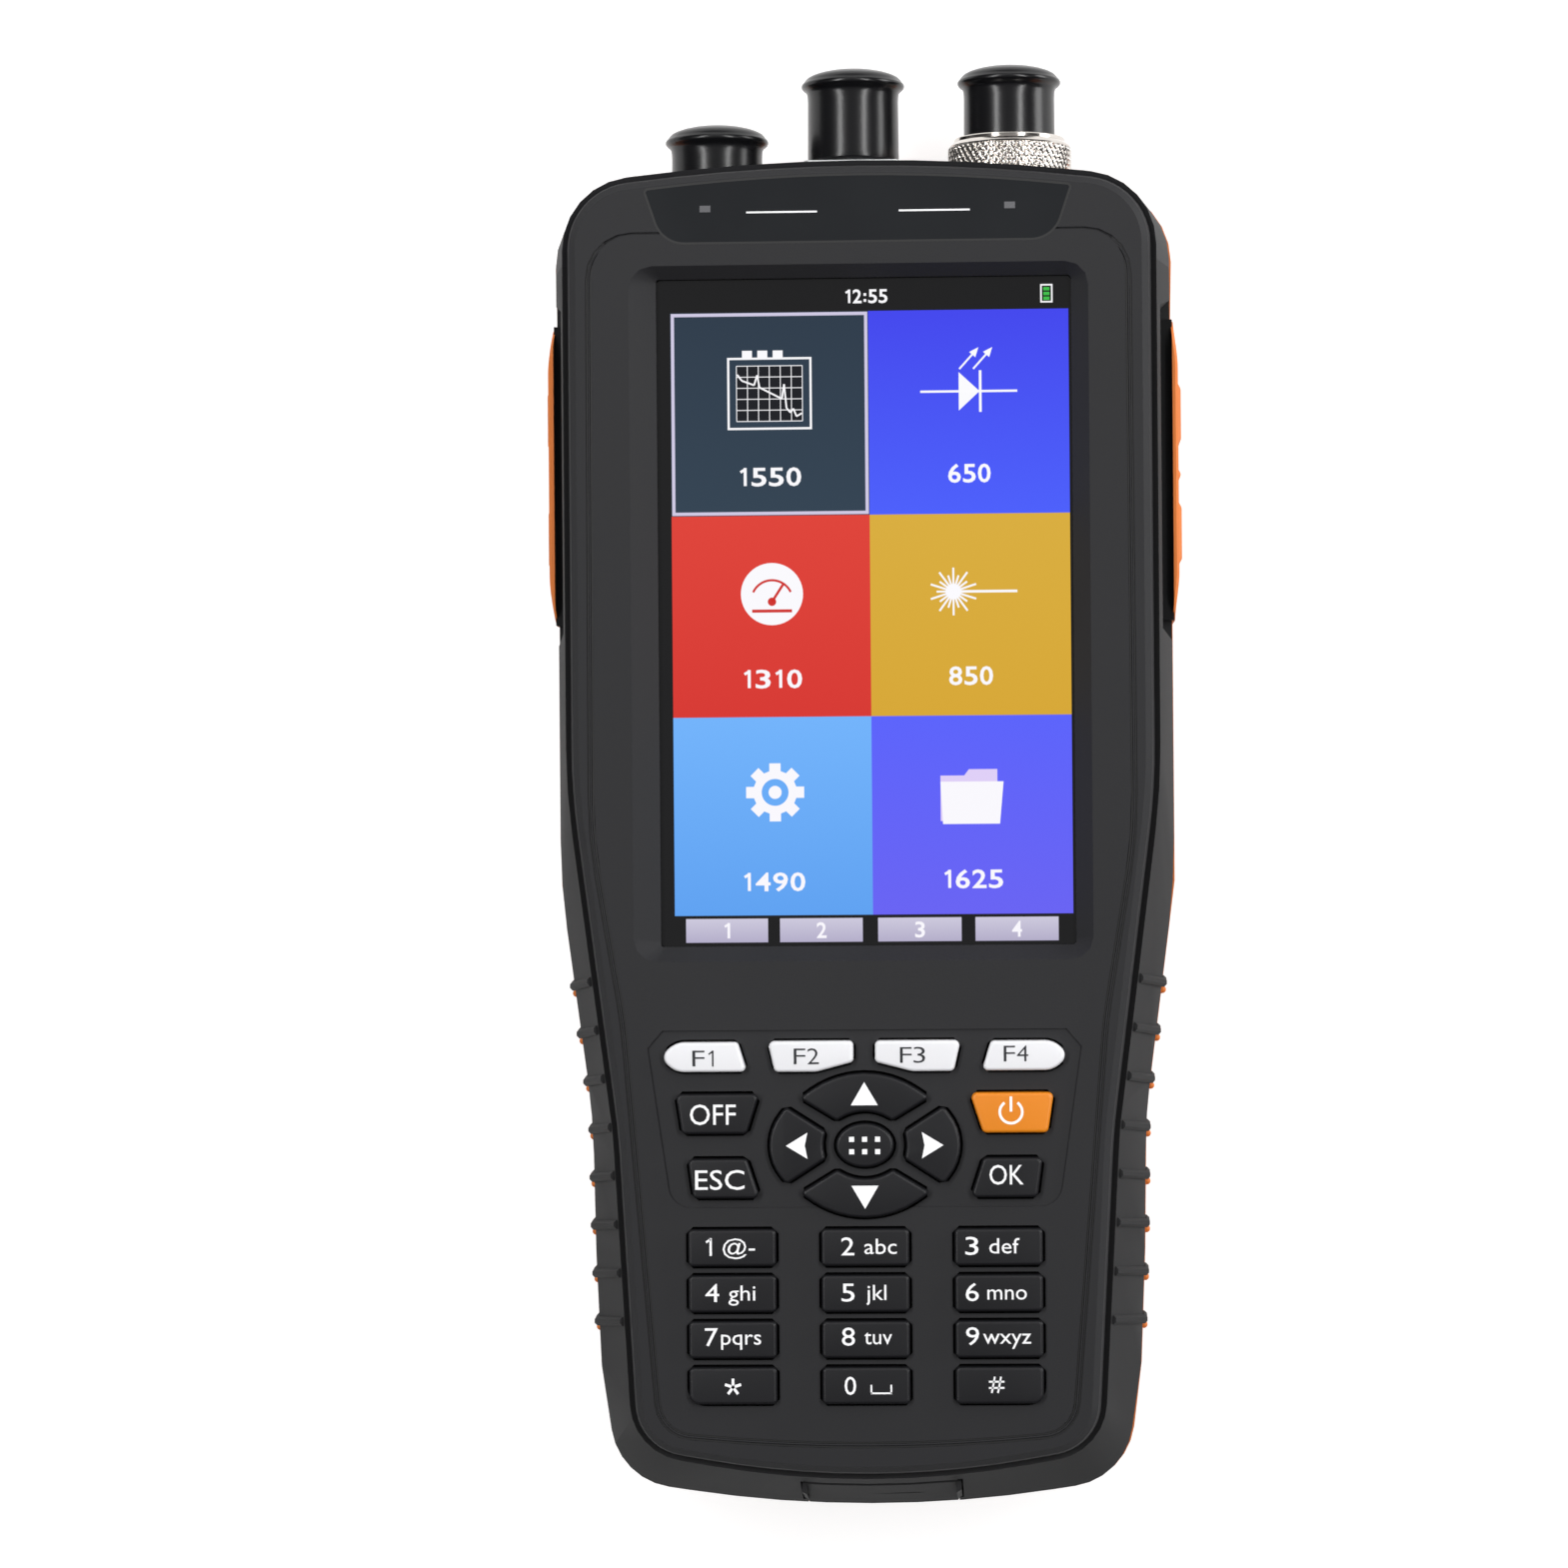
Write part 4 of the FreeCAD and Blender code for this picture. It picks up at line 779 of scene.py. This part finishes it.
fine += [bar(cx + a[0], cy + a[1], cx + b[0], cy + b[1], 0.22, *Z_FINE)
         for a, b in zip(trace, trace[1:])]
# a light source: triangle, bar and two rays
cx, cy = RIGHT_X, 146.6
white += [bar(cx - 6.3, cy, cx + 6.3, cy, 0.3, *Z_MARK),
          slab([(cx - 1.3, cy - 2.5), (cx + 1.4, cy), (cx - 1.3, cy + 2.5)], *Z_MARK),
          bar(cx + 1.5, cy - 2.7, cx + 1.5, cy + 2.7, 0.34, *Z_MARK)]
for dx in (-1.2, 0.6):
    white += [bar(cx + dx, cy + 2.9, cx + dx + 1.9, cy + 5.0, 0.24, *Z_MARK),
              slab([(cx + dx + 2.5, cy + 5.7), (cx + dx + 1.3, cy + 5.1),
                    (cx + dx + 2.1, cy + 4.4)], *Z_MARK)]
# a meter: disc, scale and needle
cx, cy = LEFT_X + 0.1, 120.5
white += [disc(cx, cy, 4.05, *Z_MARK)]
red = [bent(cx, cy - 0.9, 2.7, 0.3, 25, 155, *Z_FINE), bar(cx, cy - 1.0, cx + 1.5, cy + 1.3, 0.34,
                                                           *Z_FINE),
       disc(cx, cy - 1.0, 0.55, *Z_FINE), bar(cx - 2.6, cy - 2.2, cx + 2.6, cy - 2.2, 0.4, *Z_FINE)]
# a beam that leaves a burst
cx, cy = RIGHT_X - 2.2, 120.6
for k in range(20):
    a, r = math.radians(18 * k), 3.1 if k % 2 else 2.2
    white.append(bar(cx, cy, cx + r * math.cos(a), cy + r * math.sin(a), 0.26, *Z_MARK))
white += [bar(cx, cy, cx + 8.3, cy, 0.34, *Z_MARK), disc(cx, cy, 1.0, *Z_MARK)]
# a cog
cx, cy = LEFT_X + 0.3, 94.7
cog = []
for k in range(8):
    for da, r in ((-15, 2.85), (-11, 3.85), (11, 3.85), (15, 2.85)):
        a = math.radians(45 * k + da)
        cog.append((cx + r * math.cos(a), cy + r * math.sin(a)))
white += [slab(cog, *Z_MARK), disc(cx, cy, 0.85, Z_FINE[0], Z_FINE[1] + 0.02)]
sky = [disc(cx, cy, 1.75, *Z_FINE)]
# a folder
cx, cy = RIGHT_X - 0.2, 94.0
pale = [slab([(cx - 3.9, cy - 3.2), (cx + 3.5, cy - 3.2), (cx + 3.5, cy + 3.5),
              (cx - 0.2, cy + 3.5), (cx - 0.8, cy + 2.7), (cx - 3.9, cy + 2.7)], *Z_MARK)]
sheet = [slab([(cx - 3.6, cy - 3.6), (cx + 3.8, cy - 3.6), (cx + 4.3, cy + 1.9),
               (cx - 3.9, cy + 1.9)], *Z_FINE)]
# status bar and soft keys
battery = frame_lines(23.6, 25.2, 158.0, 160.4, 0.2, Z_MARK)
cells = [bar(24.0, 158.55 + 0.62 * i, 24.8, 158.55 + 0.62 * i, 0.42, *Z_MARK) for i in range(3)]
soft = [tile(a, b, 75.2, 78.3) for a, b in ((-23.17, -12.48), (-10.92, -0.15), (1.85, 12.7),
                                            (14.5, 25.3))]
soft_marks = [one(-17.6, 75.75, 2.0, 0.34, *Z_MARK)]
soft_marks += [middle(str(i), x, 1.5, 75.75, 2.0) for i, x in ((2, -5.5), (3, 7.3), (4, 19.9))]
select = frame_lines(X0 + 0.1, SPLIT - 0.1, ROWS[2] + 0.1, ROWS[3] - 0.1, 0.42, Z_FINE)
for name, parts, light in (("picture_white", white + soft_marks + sheet, WHITE_LIGHT),
                           ("picture_lines", fine, WHITE_LIGHT), ("picture_dark", dark, DARK_LIGHT),
                           ("picture_red", red, RED_LIGHT), ("picture_sky", sky, SKY_LIGHT),
                           ("picture_pale", pale, PALE_LIGHT), ("soft_keys", soft, LILAC_LIGHT),
                           ("select_frame", select, FRAME_LIGHT),
                           ("battery_frame", battery, WHITE_LIGHT),
                           ("battery_cells", cells, GREEN_LIGHT)):
    add_piece(name, join(*parts), "case", light, sharp=60)
print("display drawn")

# %% The strip's two printed lines
lines = [bar(a, 169.9, b, 169.9, 0.22, Z_FACE - 0.03, Z_FACE + INK) for a, b in
         ((-14.4, -5.2), (5.4, 14.6))]
add_piece("strip_lines", join(*lines), "case", WHITE_INK, sharp=60)

# %% [markdown]
# ## The bead round the panel
# A fine bead lies in the groove down both sides and across the bottom of the panel. Its
# section is a small rounded hump, and it is carried along the inset outline of the panel.

# %% Panel bead
PANEL_TOP = 167.5
PANEL = mirrored([(0, 8.66, 235), (27.25, 11.22, 5.0), (31.7, 65.0, 60), (35.65, 88.9, 60),
                  (35.4, PANEL_TOP, 6.0), (0, PANEL_TOP, 0)])
section = [(0.28, -0.48), (0.28, -0.10), (0.33, -0.03), (0.415, 0.0), (0.50, -0.03),
           (0.55, -0.10), (0.55, -0.48)]
edges = [rounded(PANEL, inset, 12) for inset, _ in section]
top_row = np.argmax(edges[0][:, 1])
keep = np.roll(np.arange(len(edges[0])), -top_row)
keep = [k for k in keep if edges[0][k, 1] < PANEL_TOP - 1.4]
bead = [np.array([[e[k, 0], e[k, 1] + Y_LOW, Z_FACE + dz] for e, (_, dz) in zip(edges, section)])
        for k in keep]
add_piece("panel_bead", skin(bead), "case", BLACK_CASE, sharp=60)


def joint_line(outline, a, b, z0, z1, rows):
    """A flat dark thread of painted shade between two insets of an outline, along the given rows of
    it.
    """
    inner, outer = rounded(outline, b, 12), rounded(outline, a, 12)
    rings = [np.array([[e[k, 0], e[k, 1] + Y_LOW, Z_FACE + z] for e, z in
                       ((outer, z0), (outer, z1), (inner, z1), (inner, z0))]) for k in rows]
    return rings


# painted shade: dark threads on the groove floor either side of the bead, where the groove lies in
# shade
add_piece("panel_groove_shade", join(*[skin(joint_line(PANEL, a, b, -0.48, -0.2, keep))
                                for a, b in ((0.02, 0.25), (0.58, 0.81))]),
          "case", DARK_PLASTIC_AND_SHADE, sharp=60)
STRIP = mirrored([(0, 166.0, 0), (25.34, 166.0, 4.0), (27.7, 173.0, 0.4), (0, 176.13, 235)])
every = range(len(rounded(STRIP, 0.0, 12)))
# painted shade: a dark ring round the label strip, standing for the shade in the groove at its edge
add_piece("strip_groove_shade", skin(joint_line(STRIP, -0.16, 0.12, -0.1, 0.012, every), loop=True),
          "case", DARK_PLASTIC_AND_SHADE, sharp=60)

# %% [markdown]
# ## Turned pieces
# Caps and the collar are turned: a profile of radius and height goes once round the axis.

# %% A surface of revolution about a line along Y
PORT_Z = 22.0


def turned(profile, x, seat, n=96):
    """Point = (x + r cos t, seat + h, z + r sin t) for each (r, h) of the profile."""
    p = np.asarray(profile, float)
    t = np.linspace(0, 2 * math.pi, n, endpoint=False)
    r, h = p[:, :1], p[:, 1:]
    grid = np.stack([x + r * np.cos(t), seat + h + 0 * t, PORT_Z + r * np.sin(t)], -1)
    return skin(list(grid))


def arc(cx, cy, r, a0, a1, n=7):
    """Points centre + r (cos a, sin a), for angles in degrees."""
    t = np.radians(np.linspace(a0, a1, n))
    return [(cx + r * math.cos(a), cy + r * math.sin(a)) for a in t]


CAPS = {w: low("dust_cap_" + w, 1) for w in ("vfl", "otdr", "opm")}
PORT_X = {w: (low("dust_cap_" + w, 0) + high("dust_cap_" + w, 0)) / 2 for w in CAPS}
CAP_LEN = {"vfl": 12.25, "otdr": 12.55, "opm": 12.25}


def cap_profile(n):
    """(radius, height) from the bore round the mouth, up the barrel, the rim and the dome."""
    return ([(0, n - 3.4), (4.3, n - 3.4), (4.3, 0.25), (4.5, 0), (5.9, 0)]
            + arc(5.8, 0.35, 0.3, -60, 0, 4) + [(6.1, 1.0), (6.05, n - 4.4), (6.08, n - 3.7)]
            + [(6.15, n - 3.25), (6.3, n - 2.95), (6.6, n - 2.75)]
            + arc(6.38, n - 2.25, 0.5, -55, 62, 9)
            + [(6.42, n - 1.5), (6.1, n - 1.16), (5.5, n - 0.84), (4.7, n - 0.56)]
            + [(3.7, n - 0.32), (2.6, n - 0.15), (1.4, n - 0.04), (0.6, n), (0, n)])


for which, seat in CAPS.items():
    add_piece("cap_over_" + which, turned(cap_profile(CAP_LEN[which]), PORT_X[which], seat),
              "dust_cap_" + which, CAP_RUBBER, ("dust_cap_" + which,))

# %% [markdown]
# ## The knurled collar
# A diamond knurl is two sets of fine grooves that cross. On a grid of angle and height the
# radius drops where either set of slanting lines runs, so the diamonds are real geometry.

# %% The collar
collar_low = low("opm_collar", 1)
COLLAR_R = (high("opm_collar", 0) - low("opm_collar", 0)) / 2
KNURL_PITCH = (0.95, 1.3)
ROUND_STEPS = 660


def knurled(x, seat, y0, y1, radius, depth=0.22, n=ROUND_STEPS, rows=40):
    """Radius = radius - depth * clip(2.4 wave - 1.4, 0 to 1).

    The wave is the larger of two triangle waves, on turns round plus and minus height.
    """
    t = np.linspace(0, 2 * math.pi, n, endpoint=False)[None, :]
    h = np.linspace(y0, y1, rows)[:, None]
    turns = round(2 * math.pi * radius / KNURL_PITCH[0])
    along = t * turns / (2 * math.pi)
    up = h / KNURL_PITCH[1]
    wave_a = np.abs((along + up) % 1.0 - 0.5) * 2
    wave_b = np.abs((along - up) % 1.0 - 0.5) * 2
    r = radius - depth * np.clip(np.maximum(wave_a, wave_b) * 2.4 - 1.4, 0, 1)
    grid = np.stack([x + r * np.cos(t), seat + h + 0 * t, PORT_Z + r * np.sin(t)], -1)
    return grid


collar_x = PORT_X["opm"]


def circle_rows(profile, x, seat):
    """Plain circles, one for each (radius, height), with as many points as the knurl."""
    t = np.linspace(0, 2 * math.pi, ROUND_STEPS, endpoint=False)
    p = np.asarray(profile, float)
    r, h = p[:, :1], p[:, 1:]
    return np.stack([x + r * np.cos(t), seat + h + 0 * t, PORT_Z + r * np.sin(t)], -1)


inside = circle_rows([(5.75, 2.2), (5.75, 0.0), (COLLAR_R - 0.25, 0.0)], collar_x, collar_low)
knurl = knurled(collar_x, collar_low, 0.2, 3.55, COLLAR_R)
outside = circle_rows([(COLLAR_R - 0.22, 3.65), (COLLAR_R - 0.16, 3.8), (COLLAR_R - 0.3, 4.0),
                       (COLLAR_R - 0.6, 4.2), (7.55, 4.3), (7.45, 4.36), (7.42, 4.75),
                       (7.3, 4.88), (6.35, 4.9), (6.25, 4.8), (6.25, 2.1), (4.0, 2.1), (4.0, 9.9),
                       (3.6, 10.3), (1.4, 10.3), (1.4, 2.2)], collar_x, collar_low)
add_piece("knurled_collar", skin(list(inside) + list(knurl) + list(outside), ends=False, loop=True),
          "opm_collar", NICKEL, ("opm_collar",), sharp=30)
print("turned pieces made")

# %% [markdown]
# ## The floor, the light and the camera
# The tester lies on its back on a pale floor. The floor shows as white to the camera and
# in reflections through Light Path, so no lamp has to be turned up to make it white.

# %% Floor
FLOOR_GREY, FLOOR_GLOW = 0.38, 0.78
floor_mesh = bpy.data.meshes.new("floor")
reach = 3.0
floor_mesh.from_pydata([(-reach, -reach, 0), (reach, -reach, 0), (reach, reach, 0),
                        (-reach, reach, 0)], [], [(0, 1, 2, 3)])
floor = bpy.data.objects.new("floor", floor_mesh)
scene.collection.objects.link(floor)
paper = bpy.data.materials.new("white_paper")
paper.use_nodes = True
tree = paper.node_tree
tree.nodes.clear()
out = tree.nodes.new("ShaderNodeOutputMaterial")
matte = tree.nodes.new("ShaderNodeBsdfDiffuse")
matte.inputs["Color"].default_value = (FLOOR_GREY, FLOOR_GREY, FLOOR_GREY, 1)
glow = tree.nodes.new("ShaderNodeEmission")
path = tree.nodes.new("ShaderNodeLightPath")
seen = tree.nodes.new("ShaderNodeMath")
seen.operation = "MAXIMUM"
seen_too = tree.nodes.new("ShaderNodeMath")
seen_too.operation = "MAXIMUM"
tree.links.new(path.outputs["Is Camera Ray"], seen.inputs[0])
tree.links.new(path.outputs["Is Glossy Ray"], seen.inputs[1])
tree.links.new(seen.outputs[0], seen_too.inputs[0])
tree.links.new(path.outputs["Is Transmission Ray"], seen_too.inputs[1])
scale = tree.nodes.new("ShaderNodeMath")
scale.operation = "MULTIPLY"
scale.inputs[1].default_value = FLOOR_GLOW
tree.links.new(seen_too.outputs[0], scale.inputs[0])
tree.links.new(scale.outputs[0], glow.inputs["Strength"])
both = tree.nodes.new("ShaderNodeAddShader")
tree.links.new(matte.outputs[0], both.inputs[0])
tree.links.new(glow.outputs[0], both.inputs[1])
tree.links.new(both.outputs[0], out.inputs["Surface"])
floor_mesh.materials.append(paper)

# %% [markdown]
# ## Light
# Two long narrow lamps draw the upright streaks on the caps, a wide one at the port end
# brightens the upper half, and one low on the right lifts that side.

# %% World and lamps
world = bpy.data.worlds.new("studio")
scene.world = world
world.use_nodes = True
sky_tree = world.node_tree
way = sky_tree.nodes.new("ShaderNodeTexCoord")
split = sky_tree.nodes.new("ShaderNodeSeparateXYZ")
sky_tree.links.new(way.outputs["Generated"], split.inputs["Vector"])
ramp = sky_tree.nodes.new("ShaderNodeValToRGB")
sky_tree.links.new(split.outputs["Z"], ramp.inputs["Fac"])
stops = ((0.0, 0.16), (0.25, 0.06), (0.80, 0.05), (0.97, 0.30))
while len(ramp.color_ramp.elements) < len(stops):
    ramp.color_ramp.elements.new(0.5)
for element, (height, grey) in zip(ramp.color_ramp.elements, stops):
    element.position = height
    element.color = (grey, grey, grey, 1)
sky_tree.links.new(ramp.outputs["Color"], sky_tree.nodes["Background"].inputs["Color"])
sky_tree.nodes["Background"].inputs["Strength"].default_value = 1.0


def lamp(name, place, aim, width, height, power):
    """A rectangular lamp at a place, with its -Z axis towards the aim."""
    data = bpy.data.lights.new(name, "AREA")
    data.shape = "RECTANGLE"
    data.size, data.size_y = width, height
    data.energy = power
    lamp_object = bpy.data.objects.new(name, data)
    scene.collection.objects.link(lamp_object)
    way = (Vector(aim) - Vector(place)).to_track_quat("-Z", "Y")
    lamp_object.matrix_world = Matrix.Translation(Vector(place)) @ way.to_matrix().to_4x4()


lamp("left_strip", (-0.42, 0.16, 0.72), (0, 0.02, 0.03), 0.7, 0.10, 4.1)
lamp("right_strip", (0.42, 0.16, 0.72), (0, 0.02, 0.03), 0.7, 0.10, 4.1)
lamp("top_box", (0.0, 0.85, 0.60), (0, 0, 0.03), 0.9, 0.5, 2.4)
lamp("right_box", (0.80, 0.30, 0.16), (0, 0.03, 0.03), 0.6, 0.30, 4.0)
scene.view_settings.view_transform = "Standard"

# %% [markdown]
# ## Camera
# The camera looks almost straight down. It stands a little to one side, and the shift
# brings the picture back by lens / sensor * aside / distance.

# %% Camera
CAMERA_AT = (0.01303, -0.0013, 0.6205)
LOOK_DISTANCE = 0.5805
camera_data = bpy.data.cameras.new("camera")
camera = bpy.data.objects.new("camera", camera_data)
scene.collection.objects.link(camera)
scene.camera = camera
camera_data.sensor_width = 36.0
camera_data.lens = 102.6
camera_data.clip_start = 0.01
turn = (Matrix.Rotation(math.radians(2.293), 4, "Y") @ Matrix.Rotation(math.radians(0.114), 4, "X")
        @ Matrix.Rotation(math.radians(-0.481), 4, "Z"))
ASIDE = 0.012
camera.matrix_world = (Matrix.Translation(CAMERA_AT) @ turn
                       @ Matrix.Translation((ASIDE, 0, 0)))
camera_data.shift_x = -camera_data.lens / camera_data.sensor_width * ASIDE / LOOK_DISTANCE
